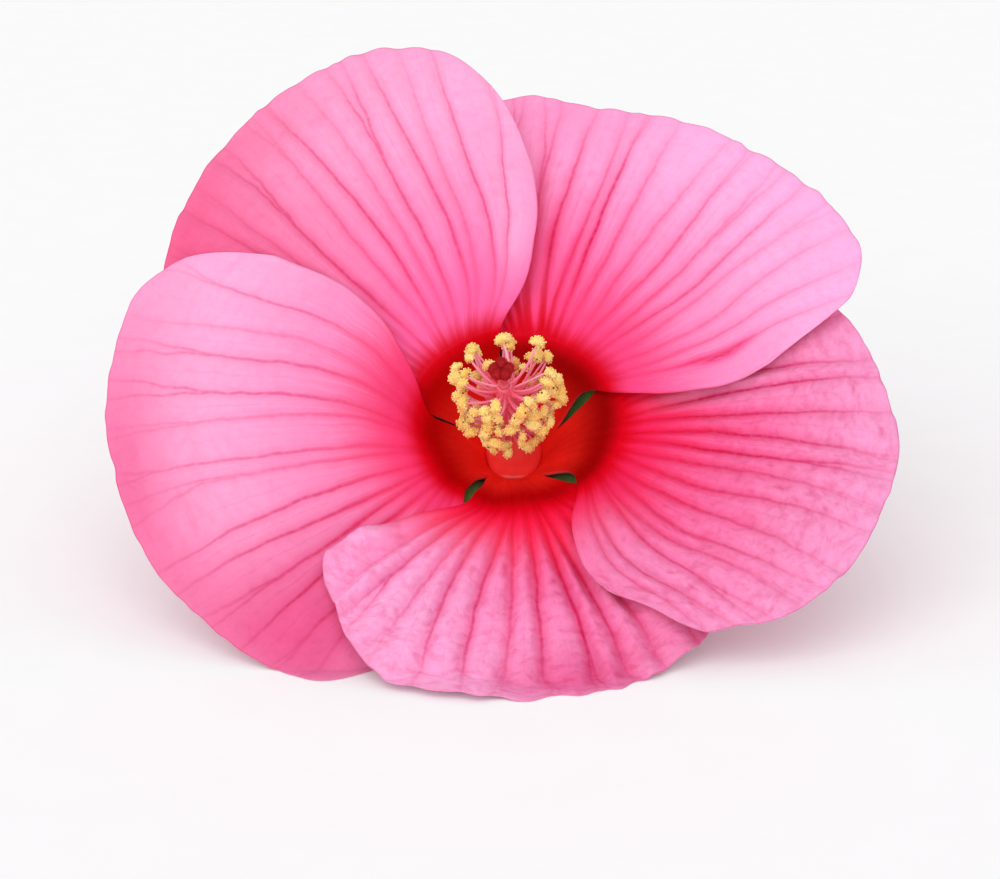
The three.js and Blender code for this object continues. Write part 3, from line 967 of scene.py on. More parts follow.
    def lay(self) -> None:
        """Lays the patterns over each other and gives the skin its fine relief."""
        core, halo = self.vein_lines()
        colour = self.veined(self.stained(halo), core, halo)
        warp = self.pattern(1.3, 0.12, 9.0, 3.0)
        rungs = self.line(self.reach, 0.5, self.times(warp, 3.5))
        cross = self.drawn(self.times(self.vein, 3.0), rungs, self.seed, 4.0, 0.6)
        colour = self.netted(colour, cross)
        if self.look.mauve:
            colour = self.flecked(colour)
        fibre = self.pattern(16.0, 0.4, 1.0, 3.0)
        cells = self.grain(self.place(), 2600.0)
        rough = self.times(cross, min(3 * self.look.net, 1.0))
        height = self.line(cells, 0.25, self.line(fibre, 0.5, rough))
        colour = self.bordered(self.fibrous(colour, fibre))
        self.dress(colour, self.line(cells, 0.16, 0.5), height, 0.00018)


@dataclass(frozen=True)
class Petals:
    """Builds the five petals from one shared surface."""

    effects: Effects
    edge_radii: tuple[float, ...] = (6.8, 10, 15, 19, 24, 32, 45, 65, 110)
    claw_half_angles: tuple[float, ...] = (35.9, 35.5, 31.5, 32)  # at the first four
    hidden_half_angles: tuple[float, ...] = (38, 45, 49, 48, 45)  # at the other five
    rim_stations: tuple[float, ...] = (-1, -0.85, -0.6, -0.3, 0, 0.3, 0.6, 0.8, 0.92, 1)
    claw_twist: float = 6.0  # degrees that the claws turn against the blades
    climb: float = 2.8  # height that a blade gains towards its free edge, mm for 36 degrees
    dome: float = 3.0  # how far its edges bend back, mm at 50 degrees
    wave: float = 0.7  # of the waves that all petals share, mm
    panel_columns: int = 16  # of points
    rows: int = 150
    thickness: float = 0.45
    claw_gain: float = 0.5  # how much thicker the claw is
    rim_loss: float = 0.12  # how much thinner the rim is
    claw_rib: float = 0.5  # height of the claw's rib
    rest_blend: float = 0.6  # mm over which a petal rounds onto the table

    def half_angle(self, form: PetalForm, side: Array, radius: Array) -> Array:
        """The petal's half-angle, which opens windows between the claws.

        Args:
            form: The petal.
            side: From -1 at the hidden edge to 1 at the free edge.
            radius: Distance from the flower's axis, mm.

        Returns:
            The half-angle on that side at that radius, degrees.
        """
        shut = self.claw_half_angles[0]

        def edge(window: float, blade: tuple[float, ...]) -> Array:
            """One edge's half-angle, its claw's window opened by a share."""
            claw = tuple(shut - (shut - angle) * window for angle in self.claw_half_angles)
            return curve_through(self.edge_radii, (*claw, *blade), radius)

        free, hidden = edge(form.window, form.free), edge(form.hidden_window, self.hidden_half_angles)
        return np.where(side > 0, free, hidden)

    def rim_radius(self, form: PetalForm, side: Array) -> Array:
        """The solid's rim radius with small scallops."""
        scallops = 0.55 * noise(side * 9, 0.5, form.seed) + 0.3 * noise(side * 26, 0.5, form.seed + 1)
        return curve_through(self.rim_stations, form.rim, side) + scallops

    def vein_sides(self, form: PetalForm, share: Array) -> Array:
        """Where each main vein runs between the edges, for every row.

        At the claw the veins start in pairs, and each pair opens at its own distance. They
        sway a little, and gather towards the midrib where the petal is wider than a fan.

        Args:
            form: The petal.
            share: Distance from the claw to the rim for each row, from 0 to 1.

        Returns:
            Rows x veins, from -1 to 1; the first and the last are the petal's edges.
        """
        rng = np.random.default_rng(form.seed)
        count, along = form.panels, share[:, None]
        final = np.linspace(-1, 1, count + 1)
        final[1:-1] = 0.98 * final[1:-1] + rng.uniform(-0.2, 0.2, count - 1) / count * 2
        final = final + form.crowd / 2 * (1 - final**2)
        index, middle = np.arange(count + 1), count // 2
        second_half = (index >= middle) * 50  # keeps the pair numbers of the halves apart
        pair = (index - 1 - middle * (index >= middle)) // 2 + second_half
        base = final.copy()
        for k in np.flatnonzero(pair[2:-1] == pair[1:-2]) + 1:
            if middle not in (k, k + 1):
                centre = (final[k] + final[k + 1]) / 2
                base[k], base[k + 1] = (centre + final[k]) / 2, (centre + final[k + 1]) / 2
        opens = 0.1 * rng.random(count + 1)
        opens = opens[np.maximum(pair, 0) % (count + 1)]
        phase = rng.uniform(0, 6.28, count + 1)
        sway = 0.018 * np.sin(along * 5 + phase) * between(along, 0, 0.5)
        lines = base + (final - base) * between(along, opens, opens + 0.5) + sway
        rim = self.rim_radius(form, final)
        radius = BOWL.start + along * (rim - BOWL.start)
        claw, blade = self.claw_half_angles[-1], self.half_angle(form, final, rim)
        spread = blade - (blade - claw) * (19 / np.maximum(radius, 19)) ** 1.2
        wider = 1 - np.minimum(spread / self.half_angle(form, final, radius), 1.0)
        lines *= 1 - 0.12 * wider * between(radius, 15, 23)
        lines[:, 0], lines[:, -1] = -1, 1
        return lines

    def forks(self, form: PetalForm, vein: Array, share: Array) -> tuple[Array, Array, Array]:
        """How each vein branches and how bold it is.

        Args:
            form: The petal.
            vein: Vein number of each point.
            share: From 0 at the claw to 1 at the rim.

        Returns:
            How far the two branches stand from the vein on its low and its high side, in
            panels, and the vein's depth, about 1.
        """
        rng = np.random.default_rng(form.seed + 100)
        count = form.panels + 1
        starts = rng.uniform(0.68, 1.3, (2, count))  # a start beyond 1 leaves that side unforked
        starts[1] = np.clip(starts[0] + rng.uniform(-0.2, 0.3, count), 0.65, 1.4)
        spread = rng.uniform(0.2, 0.3, (2, count))
        which = np.clip(np.round(vein), 0, form.panels).astype(int)
        low, high = (spread[k][which] * leap((share - starts[k][which]) / 0.42) for k in (0, 1))
        bold = np.interp(vein, np.arange(count), rng.uniform(0.6, 1.3, count))
        return low, high, bold * (1 - 0.25 * between(share, 0.45, 0.95))

    def middle(self, form: PetalForm, side: Array, share: Array) -> tuple[Array, Array, Array, Array]:
        """The solid petal's middle surface, before it meets the table.

        The height is the bowl, the petal's lift, a climb towards the free edge, a dome that
        bends both edges back, the rim's roll and the waves that all petals share.

        Args:
            form: The petal.
            side: From -1 at the hidden edge to 1 at the free edge.
            share: From 0 at the claw to 1 at the rim.

        Returns:
            Points, radius, turn from the midrib in degrees, and rim radius.
        """
        rim = self.rim_radius(form, side)
        radius = BOWL.start + share * (rim - BOWL.start)
        turn = side * self.half_angle(form, side, radius)
        azimuth = np.radians(form.azimuth - turn - self.claw_twist * between(radius, 18.5, 9.5))
        height = BOWL.height(radius) + form.lift * between(radius, 22, 92)
        height += self.climb * between(radius, 11, 41) * turn / 36
        height -= self.dome * between(radius, 30, 80) * (turn / 50) ** 2
        height -= form.droop * between(radius, rim - 16, rim) * between(side, 0.6, 0)
        waves = np.sin(3 * azimuth + 0.6) + 0.7 * np.sin(8 * azimuth - 1.1)
        height += self.wave * between(radius, 35, 85) * waves
        return polar(radius, azimuth, height), radius, turn, rim

    def relief(
        self, form: PetalForm, lie: dict[str, Array], rim: Array, groove: Array,
    ) -> tuple[Array, Array]:
        """Height of the living petal over the smooth one.

        Veins lie in valleys and the panels between them swell like pillows; wrinkles cross
        the panels; the rim ruffles; single folds and dips follow; the claw has a rib
        between two pockets.

        Args:
            form: The petal.
            lie: Vein number, side, reach and boldness of each point.
            rim: Rim radius on the same line, mm.
            groove: Distance to the nearest vein, mm.

        Returns:
            Height along the surface's normal, mm, and the wrinkles alone, about -1 to 1.
        """
        vein, side, radius = lie["vein"], lie["side"], lie["reach"]

        def pattern(across: float, long: float, step: int) -> Array:
            """The petal's own noise, with cells per panel and a length in mm."""
            return noise(vein * across, radius / long, form.seed + step)

        outward = between(radius, 18, 58)
        valley = hump(groove, 0, 0.9 + 0.9 * outward) * lie["bold"]
        pillow = np.sin(np.pi * np.mod(vein, 1)) ** 2
        pleats = (0.35 + 0.65 * outward) * (0.6 * pillow - 0.8 * valley) * between(radius, 19, 43)
        wander = 1.4 * pattern(0.9, 9, 2)
        cross = noise(vein * 3.3 + 0.3 * wander, (radius + wander) / 1.9, form.seed)
        cross = cross + 0.4 * pattern(6.1, 1.05, 3)
        patch = 0.6 + 0.4 * pattern(0.4, 13, 5)
        wrinkles = cross * patch * (1 - 0.7 * valley) * between(radius, 24, 46)
        swell = 1.6 * pattern(0.8, 7, 11) * between(radius, 30, 60)
        ruffles = between(radius, rim - 14, rim) ** 2 * pattern(1.6, 30, 7)
        height = form.pleat * pleats + form.crinkle * (wrinkles + swell) + form.ruffle * ruffles
        height += sum(fold.over(side, radius) for fold in form.folds)
        claw = between(radius, 7.2, 10.2) * between(radius, 29, 19)
        height += self.claw_rib * claw * (hump(side, 0, 0.3) - hump(np.abs(side), 0.62, 0.22))
        return height, wrinkles

    def raised(self, form: PetalForm, points: Array, turn: Array) -> Array:
        """Moves points that would be under the table up onto it.

        Args:
            form: The petal; one that lies on its neighbour rests higher on that side.
            points: Its middle surface.
            turn: Each point's turn from the midrib, degrees.

        Returns:
            The points, none of them lower than half a thickness.
        """
        rise = 1.8 * between(turn, 4, 14) if form.lies_on_neighbour else 0.0
        height = points @ LIE.up
        level = self.thickness / 2 - LIE.throat[2] + rise
        return points + (soft_max(height, level, self.rest_blend) - height)[..., None] * LIE.up

    def surface(self, form: PetalForm) -> Surface:
        """The petal as a closed thin shell whose columns follow its veins.

        Args:
            form: The petal.

        Returns:
            The shell, with the values that the petal's skin is painted from.
        """
        share = np.linspace(0, 1, self.rows + 1)
        vein = np.linspace(0, form.panels, form.panels * self.panel_columns + 1)
        lines = self.vein_sides(form, share)
        k = np.minimum(vein.astype(int), form.panels - 1)
        x = (vein - k)[:, None]
        side = lines.T[k] * (1 - x) + lines.T[k + 1] * x
        side[0], side[-1] = -1, 1
        vein, share = np.broadcast_arrays(vein[:, None], share[None, :])
        points, radius, turn, rim = self.middle(form, side, share)
        across, along = np.gradient(points, axis=0), np.gradient(points, axis=1)
        step = np.linalg.norm(across, axis=-1)
        gap = step * self.panel_columns
        gap[1:-1] = (gap[1:-1] + gap[:-2] + gap[2:]) / 3
        low, high, bold = self.forks(form, vein, share)
        off = vein - np.round(vein)
        groove = np.minimum(np.abs(off - high), np.abs(off + low)) * gap
        lie = {"vein": vein, "side": side, "reach": radius, "bold": bold}
        height, wrinkles = self.relief(form, lie, rim, groove)
        points = self.raised(form, points + unit(np.cross(across, along)) * height[..., None], turn)
        normal = unit(np.cross(np.gradient(points, axis=0), np.gradient(points, axis=1)))
        thick = self.thickness + self.claw_gain * between(radius, 30, 8)
        half = ((thick - self.rim_loss * between(radius, rim - 8, rim)) / 2)[..., None] * normal
        arc = step.cumsum(axis=0)
        edge = np.minimum(np.minimum(arc, arc[-1] - arc), rim - radius)
        # The deep and pale patches: the petal's own tone, painted shade and painted light.
        blush_and_shade = sum(blush_and_shade.over(side, radius) for blush_and_shade in form.blushes_and_shades) + np.zeros_like(radius)
        values = {
            **lie, "gap": gap, "fork_low": low, "fork_high": high, "edge": edge, "blush_and_shade": blush_and_shade,
            "wrinkles": wrinkles,
        }
        return shell(points + half, points - half, values)

    def build(self, form: PetalForm) -> None:
        """Makes one petal."""
        finish = PetalSkin(form, self.effects)
        make_piece(f"{form.name}_petal", self.surface(form), finish, f"petal_{form.name}")


PETAL_FORMS = (
    PetalForm(
        "top_left", azimuth=136, lift=4, droop=1, free=(37, 48, 51, 48, 44),
        rim=(50, 74, 86, 93.5, 99.5, 103, 102, 94, 80.5, 62), seed=11,
        look=PetalLook(
            eye=25.5, hot="fc68a8", pink="fb86ba", pale="fca8d2", deep="e8608f", rim="f58cb8",
            veins=0.72, net=0.08, lean=0.1, trough=0.36, dark="b40002",
        ),
        panels=17, pleat=0.62, window=0.3, hidden_window=0.4,
        folds=(Fold(1.0, 48, 0.1, 22, 1.0),),
        blushes_and_shades=(
            # The deep patch on the hidden side is partly painted shade.
            BlushAndShade(-0.55, 78, 0.6, 36, 1.0), BlushAndShade(-0.1, 100, 0.5, 14, 0.4),
            BlushAndShade(0.87, 50, 0.12, 22, -0.9),
        ),
    ),
    PetalForm(
        "top_right", azimuth=64, lift=0, droop=1, free=(46, 57, 60, 53, 49),
        rim=(52, 78, 90, 87.5, 89, 90, 91, 87.5, 78, 60), seed=23,
        look=PetalLook(
            eye=25, hot="f64684", pink="fb7cb2", pale="fdaedc", deep="f8609a", rim="fba0c8",
            veins=0.8, net=0.08, lean=0.6, trough=0.42,
        ),
        panels=17, pleat=0.5, crinkle=0.04, window=0.75, hidden_window=0.3, crowd=0.15,
        blushes_and_shades=(
            # Near the hidden edge, under the top left petal, the deep patch is partly painted shade and the
            # pale one is painted light that lifts the shadow.
            BlushAndShade(-0.5, 38, 0.35, 18, 0.95), BlushAndShade(-0.8, 60, 0.14, 20, -0.5),
            BlushAndShade(0.6, 78, 0.35, 30, -0.6), BlushAndShade(0.85, 49, 0.03, 7, 1.9), BlushAndShade(-0.4, 84, 0.4, 16, 0.35),
        ),
    ),
    PetalForm(
        "right", azimuth=-8, lift=1, droop=1.5, free=(40, 53, 59, 52, 48),
        rim=(50, 70, 79, 84.5, 88.5, 88, 85, 78, 71, 56), seed=37,
        look=PetalLook(
            eye=27, hot="ee2258", pink="f0649a", pale="f49ecc", deep="f24c8a", rim="e4a2cc",
            veins=1.0, net=0.3, mauve=0.28, trough=0.42,
        ),
        panels=17, pleat=0.55, crinkle=0.26, ruffle=0.5, crowd=0.35,
        blushes_and_shades=(
            # The pale patches at -0.85 and -0.31 are painted light that lifts the shadow under the top
            # right petal.
            BlushAndShade(-0.85, 56, 0.3, 32, -1.0), BlushAndShade(0.85, 50, 0.2, 20, -0.5), BlushAndShade(-0.15, 48, 0.5, 18, 0.3),
            BlushAndShade(-0.31, 48, 0.14, 20, -1.0),
        ),
    ),
    PetalForm(
        "bottom", azimuth=-80, lift=2, droop=3, free=(31, 40, 49, 53, 48),
        rim=(48, 65, 72.5, 77.5, 81.5, 83, 74.5, 65.5, 61, 56.5), seed=41,
        look=PetalLook(
            eye=25, hot="f81a48", pink="f66ca4", pale="ffaad8", deep="e0508a", rim="e58fb8",
            veins=0.9, net=0.4, mauve=0.2, lean=0.35, trough=0.55, dark="b40008",
        ),
        pleat=1.4, crinkle=0.48, ruffle=0.9,
        folds=(Fold(1.0, 48, 0.07, 3.5, 2.4), Fold(0.86, 50, 0.05, 3, -1.2)),
        blushes_and_shades=(
            BlushAndShade(0.62, 60, 0.42, 26, -1.0), BlushAndShade(-0.4, 70, 0.4, 18, 0.35),
            BlushAndShade(1.0, 48, 0.07, 3.5, -1.2), BlushAndShade(-0.02, 74, 0.32, 9, 0.7),
        ),
        lies_on_neighbour=True,
    ),
    PetalForm(
        "left", azimuth=-152, lift=3, droop=2, free=(49, 59, 63, 60, 54),
        rim=(52, 79, 84, 87, 89.5, 91, 91.5, 89, 81, 67), seed=59,
        look=PetalLook(
            eye=23, hot="f83a74", pink="fb88ba", pale="fcacd6", deep="e45c90", rim="f48fba",
            veins=0.85, net=0.08, lean=0.4, trough=0.15, dark="b40004",
        ),
        panels=15, pleat=0.26, crinkle=0.04, window=0.25,
        # The deep patch at the left rim is painted shade where the rim turns away.
        blushes_and_shades=(BlushAndShade(-0.58, 72, 0.42, 32, 1.0), BlushAndShade(0.2, 91, 0.5, 14, 0.8)),
    ),
)


# ------------------------------------------------------------------ column, stamens, pistil


def leaned(points: Array) -> Array:
    """The slight sideways lean that the column and the pistil share."""
    aside = 1.4 * (np.maximum(points[..., 2:], 0) / 46) ** 2
    return points - aside * [1, 0, 0]


def kidney(points: Array) -> Array:
    """A unit ball's points on an anther: stretched sideways and bent round its filament."""
    return points * [1.5, 0.95, 0.9] - 0.55 * points[:, :1] ** 2 * [0, 0, 1]


def bristles(foot: Array, bend: Array, tip: Array, radii: tuple[float, ...], sides: int) -> Surface:
    """Hairs through three points each, with a radius for each of these."""
    return tubes(np.stack([foot, bend, tip], 1), np.tile(radii, (len(foot), 1)), sides)


class ColumnFlesh(Skin):
    """Fleshy red at the flared base, salmon above, pale at the tip, with a soft gloss and a painted
    highlight ring on the front of the foot.
    """

    # each colour above the red, and the heights between which it comes in, mm
    bands = (("ff4644", 6.0, 11.0), ("ff6a64", 11.0, 20.0), ("fb7a90", 19.0, 34.0))

    def __init__(self) -> None:
        """Streaks the bands' borders along the column."""
        super().__init__(
            "column_flesh", Subsurface_Weight=0.25, Subsurface_Radius=(1.0, 0.25, 0.2),
            Subsurface_Scale=0.002, Coat_Weight=0.06, Coat_Roughness=0.4, Specular_IOR_Level=0.2,
        )
        height = self.value("height")
        streak = self.drawn(self.times(height, 1.5), self.times(self.grain(self.place(), 900.0), 5.0))
        level = self.line(streak, 3.0, height)
        colour = paint("ff2026")
        for code, start, end in self.bands:
            colour = self.mix(self.ramp(level, start, end), colour, paint(code))
        # Painted highlight: a pale ring on the front of the foot.
        colour = self.mix(self.value("painted_highlight"), colour, paint("ffc4bc"))
        cells = self.grain(self.place(), 1500.0)
        self.dress(colour, self.line(cells, 0.18, 0.3), cells, 0.0001)


class FilamentSilk(Skin):
    """Salmon at the filament's root and pale pink at the anther, a little different on each."""

    def __init__(self) -> None:
        """Builds it."""
        super().__init__(
            "filament_silk", Subsurface_Weight=0.2, Subsurface_Radius=(1.0, 0.3, 0.35),
            Subsurface_Scale=0.001, Specular_IOR_Level=0.45,
        )
        along = self.value("along")
        colour = self.mix(self.ramp(along, 0.0, 0.55), paint("fb4866"), paint("ff6e94"))
        colour = self.mix(self.ramp(along, 0.5, 1.0), colour, paint("ffa2bc"))
        colour = self.mix(self.times(self.value("tone"), 0.4), colour, paint("ffc8d6"))
        self.dress(colour, self.line(self.grain(self.place(), 1800.0), 0.2, 0.32))


class Powder(Skin):
    """Powdery yellow, more orange on some anthers and in random specks, with a few brown grains."""

    def __init__(self, name: str, dark: str, light: str) -> None:
        """Builds it.

        Args:
            name: The material's name.
            dark: The darker colour.
            light: The lighter one.
        """
        super().__init__(
            name, Subsurface_Weight=0.1, Subsurface_Radius=(1.0, 0.6, 0.2), Subsurface_Scale=0.0006,
            Specular_IOR_Level=0.3,
        )
        speck = self.grain(self.place(), 2300.0, 3.0, 0.6)
        share = self.line(self.value("tone"), 0.5, self.ramp(speck, 0.38, 0.62, 0.0, 0.5))
        colour = self.mix(self.value("dot"), self.mix(share, paint(dark), paint(light)), paint("6a3c14"))
        self.dress(colour, self.line(speck, 0.2, 0.62), speck, 0.0002)


@dataclass(frozen=True)
class ColumnParts:
    """The stamen column: tube, filaments, anthers and the pollen on them."""

    heights: tuple[float, ...] = (0, 7.2, 9.6, 12, 14.5, 19.5, 26, 35, 38)
    radii: tuple[float, ...] = (6.1, 6.55, 5.4, 4.6, 4.1, 3.4, 2.8, 2.1, 1.6)  # at these
    bore_heights: tuple[float, ...] = (0, 5.7, 10.5, 14.2, 38)
    bore_radii: tuple[float, ...] = (4.4, 4.4, 3.6, 1.2, 1.2)
    sides: int = 80  # points round the tube
    stamens: int = 108
    first: float = 20.5  # height of the lowest filament's root, mm
    last: float = 37.5
    reach: float = 8.8  # of a filament from the wall, mm
    rise: float = 2.9  # how far a filament's tip bends up, away from the table
    grains: int = 46  # of pollen on each anther

    def wall(self, height: Array) -> Array:
        """The column's radius at a height."""
        return curve_through(self.heights, self.radii, height)

    def tube(self) -> Surface:
        """The column's wall, turned round the axis: up the outside and down the bore.

        Returns:
            The tube, with its height and the painted highlight ring on its front.
        """
        climb, bore = np.concatenate([np.linspace(0, 37.6, 110), [37.9, 38.0]]), np.linspace(37.8, 0, 40)
        outside = self.wall(climb)
        outside[-2:] = [1.5, 1.35]  # rounds the lip
        radius = np.concatenate([outside, curve_through(self.bore_heights, self.bore_radii, bore)])
        height = np.concatenate([climb, bore])
        angle = np.arange(self.sides)[:, None] * FULL_TURN / self.sides
        swell = 1 + 0.03 * np.sin(5 * angle) * between(height, 22, 12)
        swell = swell + 0.02 * noise(angle * 4, height / 3, 2.0)
        points = leaned(polar(radius * swell, angle, height))
        front = np.mod(angle - math.pi / 2, FULL_TURN) - math.pi  # 0 on the side near the table
        # Painted highlight: a pale ring round the front of the foot, where it meets the claws.
        painted_highlight = 0.75 * np.exp(-((front / 0.42) ** 4)) * hump(height, 7.45, 0.22)
        rows = len(radius)
        quads = grid_quads(self.sides, rows + 1, around=True)
        quads = quads // (rows + 1) * rows + quads % (rows + 1) % rows  # its end meets its start
        values = {"height": np.tile(height, self.sides), "painted_highlight": painted_highlight.ravel()}
        return Surface(points.reshape(-1, 3), quads, values=values)

    def filaments(self) -> Array:
        """Each filament's path from the column's wall to its anther.

        The roots climb the column in a golden-angle spiral, and each filament bows outward
        and then towards the flower's mouth. The upper ones gather in bunches.

        Returns:
            Stamens x points x 3.
        """
        i = np.arange(self.stamens)
        share = (i + 0.5) / self.stamens
        azimuth = np.mod(i * GOLDEN_TURN, FULL_TURN)
        height = self.first + (self.last - self.first) * share
        sideways = between(share, 0.5, 0) * np.abs(np.cos(azimuth))
        crowded = 1 - 0.16 * between(share, 0.3, 0) - 0.22 * sideways
        inner = np.where(i % 11 == 4, 0.6, 1.0)
        reach = self.reach * crowded * inner * (1 + 0.14 * np.sin(i * 2.3)) * (1 - 0.1 * share)
        lift = reach * (0.1 + 0.2 * share + 0.12 * np.sin(i * 1.7))
        bunch = azimuth
        for _ in range(6):
            bunch = bunch - 0.115 * np.sin(8.4 * (bunch - 1.6))
        even = azimuth - 0.09 * np.sin(7 * azimuth)
        gathered = even + (bunch - even) * between(np.sin(azimuth), -0.3, 0.5)
        wall = self.wall(height)
        root = leaned(polar(wall - 0.5, azimuth, height))
        bow = leaned(polar(wall + reach * 0.45, azimuth, height + lift * 0.1 + 1.2 * np.sin(i * 4.3)))
        tip = leaned(polar(wall + reach, gathered + 0.1 * np.sin(i * 3.1), height + lift))
        tip += self.rise * ((reach / self.reach) ** 2)[:, None] * LIE.up
        return arch(root, bow, tip, 13)

    def anthers(self, paths: Array) -> tuple[Surface, Surface]:
        """Kidney-shaped anthers and the pollen grains that cover them.

        An anther is lumped by waves and cleft along its front. A grain is a small ball
        pressed into its skin.

        Args:
            paths: The filaments' paths.

        Returns:
            The anthers and the grains.
        """
        i = np.arange(len(paths))
        shape = ball(14, 9)
        x, y, z = shape.points.T
        lumps = 1 + 0.09 * np.sin(7 * x + 3 * y) * np.cos(6 * z + 2)
        cleft = 1 - 0.18 * hump(y, 0, 0.22) * (z > 0)
        shape.points = kidney(shape.points) * (lumps * cleft)[:, None]
        facing = unit(paths[:, -1] - paths[:, -3])
        size = 1.08 * (1 + 0.2 * np.sin(i * 5.1))[:, None]
        frames = frames_along(facing, i * 2.1) * size[:, None]
        at = paths[:, -1] + facing * 0.55 * size
        masses = copies(shape, at, frames, {"tone": 0.5 + 0.5 * np.sin(i * 9.7)})
        spots = kidney(scattered(self.grains)) * 1.04
        where = (np.einsum("pi,kij->kpj", spots, frames) + at[:, None]).reshape(-1, 3)
        j = np.arange(len(where))
        where += 0.12 * np.sin(j[:, None] * [1.9, 2.7, 3.3])
        width = 0.2 * (1 + 0.35 * np.sin(j * 7.7))[:, None, None]
        tones = {"tone": 0.5 + 0.5 * np.sin(j * 3.7), "dot": (j % 37 == 5).astype(float)}
        return masses, copies(ball(5, 2), where, np.eye(3) * width, tones)

    def build(self) -> None:
        """Makes the column's four pieces."""
        paths = self.filaments()
        i = np.arange(len(paths))[:, None]
        radii = (0.38 - 0.15 * np.linspace(0, 1, paths.shape[1])) * (1 + 0.12 * np.sin(i * 2.9))
        tone = np.broadcast_to(0.5 + 0.5 * np.sin(i * 4.1), radii.shape)
        threads = tubes(paths, radii, 7, {"tone": tone})
        masses, grains = self.anthers(paths)
        for name, surface, finish in (
            ("column_tube", self.tube(), ColumnFlesh()),
            ("filaments", threads, FilamentSilk()),
            ("anthers", masses, Powder("anther_skin", "fcbc50", "ffea94")),
            ("pollen_grains", grains, Powder("pollen", "ffd66c", "fff6b8")),
        ):
            make_piece(name, surface, finish, "stamen_column")


class StigmaVelvet(Skin):
    """Deep red velvet on the stigmas, pale pink on the style."""

    def __init__(self) -> None:
        """Builds it."""
        super().__init__(
            "stigma_velvet", Sheen_Weight=0.1, Sheen_Roughness=0.5, Sheen_Tint=paint("ff8080"),
            Subsurface_Weight=0.1, Subsurface_Radius=(1.0, 0.2, 0.2), Subsurface_Scale=0.0008,
            Specular_IOR_Level=0.3,
        )
        speck = self.grain(self.place(), 2600.0, 3.0)
        deep = self.mix(self.ramp(speck, 0.35, 0.65), paint("9a000a"), paint("d00c1c"))
        colour = self.mix(self.value("red"), paint("fb6e84"), deep)
        self.dress(colour, self.line(speck, 0.2, 0.6), speck, 0.00025)


@dataclass(frozen=True)
class Pistil:
    """The ovary in the calyx, the style up the column, and five velvety stigmas."""

    branches: int = 5
    reach: float = 1.55  # of a branch's tip from the axis, mm
    style_top: float = 39.0
    top: float = 44.4
    hairs: int = 240  # on each stigma

    def stem(self) -> Surface:
        """Ovary and style: a tube whose radius swells at the bottom.

        Returns:
            The tube.
        """
        z = np.concatenate([np.linspace(0, 10.9, 26), np.linspace(11.7, self.style_top, 30)])
        share = np.clip(z / 10.8, 0, 1)
        ovary = 4 * np.sqrt(np.clip(1 - (2 * share - 1) ** 2, 0.08, 1))
        radius = np.where(z < 10.6, np.maximum(ovary, 0.8), 0.8 + 0.37 * between(z, 32, 36))
        red = 0.15 * between(z, 20, 34)
        return tubes(leaned(polar(0.0, 0.0, z))[None], radius[None], 20, {"red": red[None]})

    def tops(self) -> tuple[Surface, Surface, Surface]:
        """The top of the pistil: arches that spread from the style, and a head on each.

        Returns:
            The style's branches, the stigmas on them and the stigmas' short hairs.
        """
        i = np.arange(self.branches)
        azimuth = i / self.branches * FULL_TURN + 0.3
        root = leaned(polar(0.25, azimuth, self.style_top - 0.8))
        bow = leaned(polar(0.5, azimuth, self.top - 2.6))
        tip = leaned(polar(self.reach, azimuth, self.top + 0.25 * np.sin(i * 2.2)))
        paths = arch(root, bow, tip, 14)
        radii = np.tile(0.42 + 0.1 * np.linspace(0, 1, 14) ** 2, (self.branches, 1))
        stems = tubes(paths, radii, 9, {"red": np.full(radii.shape, 0.35)})
        head = ball(28, 16)
        x, y, z = head.points.T
        lumps = 1 + 0.05 * np.sin(9 * x + 1) * np.sin(8 * y) * np.cos(7 * z)
        head.points = head.points * [1.3, 1.3, 0.95] * lumps[:, None]
        frames = frames_along(tip * [0.22, 0.22, 0] + [0, 0, 10], azimuth)
        stigmas = copies(head, tip, frames, {"red": np.ones(self.branches)})
        spots = scattered(self.hairs)
        foot = (np.einsum("pi,kij->kpj", spots * [1.27, 1.27, 0.92], frames) + tip[:, None]).reshape(-1, 3)
        out = unit(np.einsum("pi,kij->kpj", spots * [1, 1, 1.4], frames)).reshape(-1, 3)
        hairs = bristles(foot, foot + out * 0.22, foot + out * 0.4, (0.07, 0.06, 0.02), 4)
        hairs.values["red"] = np.ones(len(hairs.points))
        return stems, stigmas, hairs

    def build(self) -> None:
        """Makes the pistil as one piece."""
        whole = self.stem().joined(*self.tops())
        make_piece("pistil_velvet", whole, StigmaVelvet(), "pistil")


# ------------------------------------------------------------------ calyx, bracts, stalk


class Face(Enum):
    """The calyx's two faces, each with its cup's radii and heights below the lobes, mm."""

    INNER = ((6.9, 7.6, 7.9), (-0.3, 1.3, 5.0))
    OUTER = ((5.2, 8.4, 8.9), (-2.3, 0.3, 4.6))


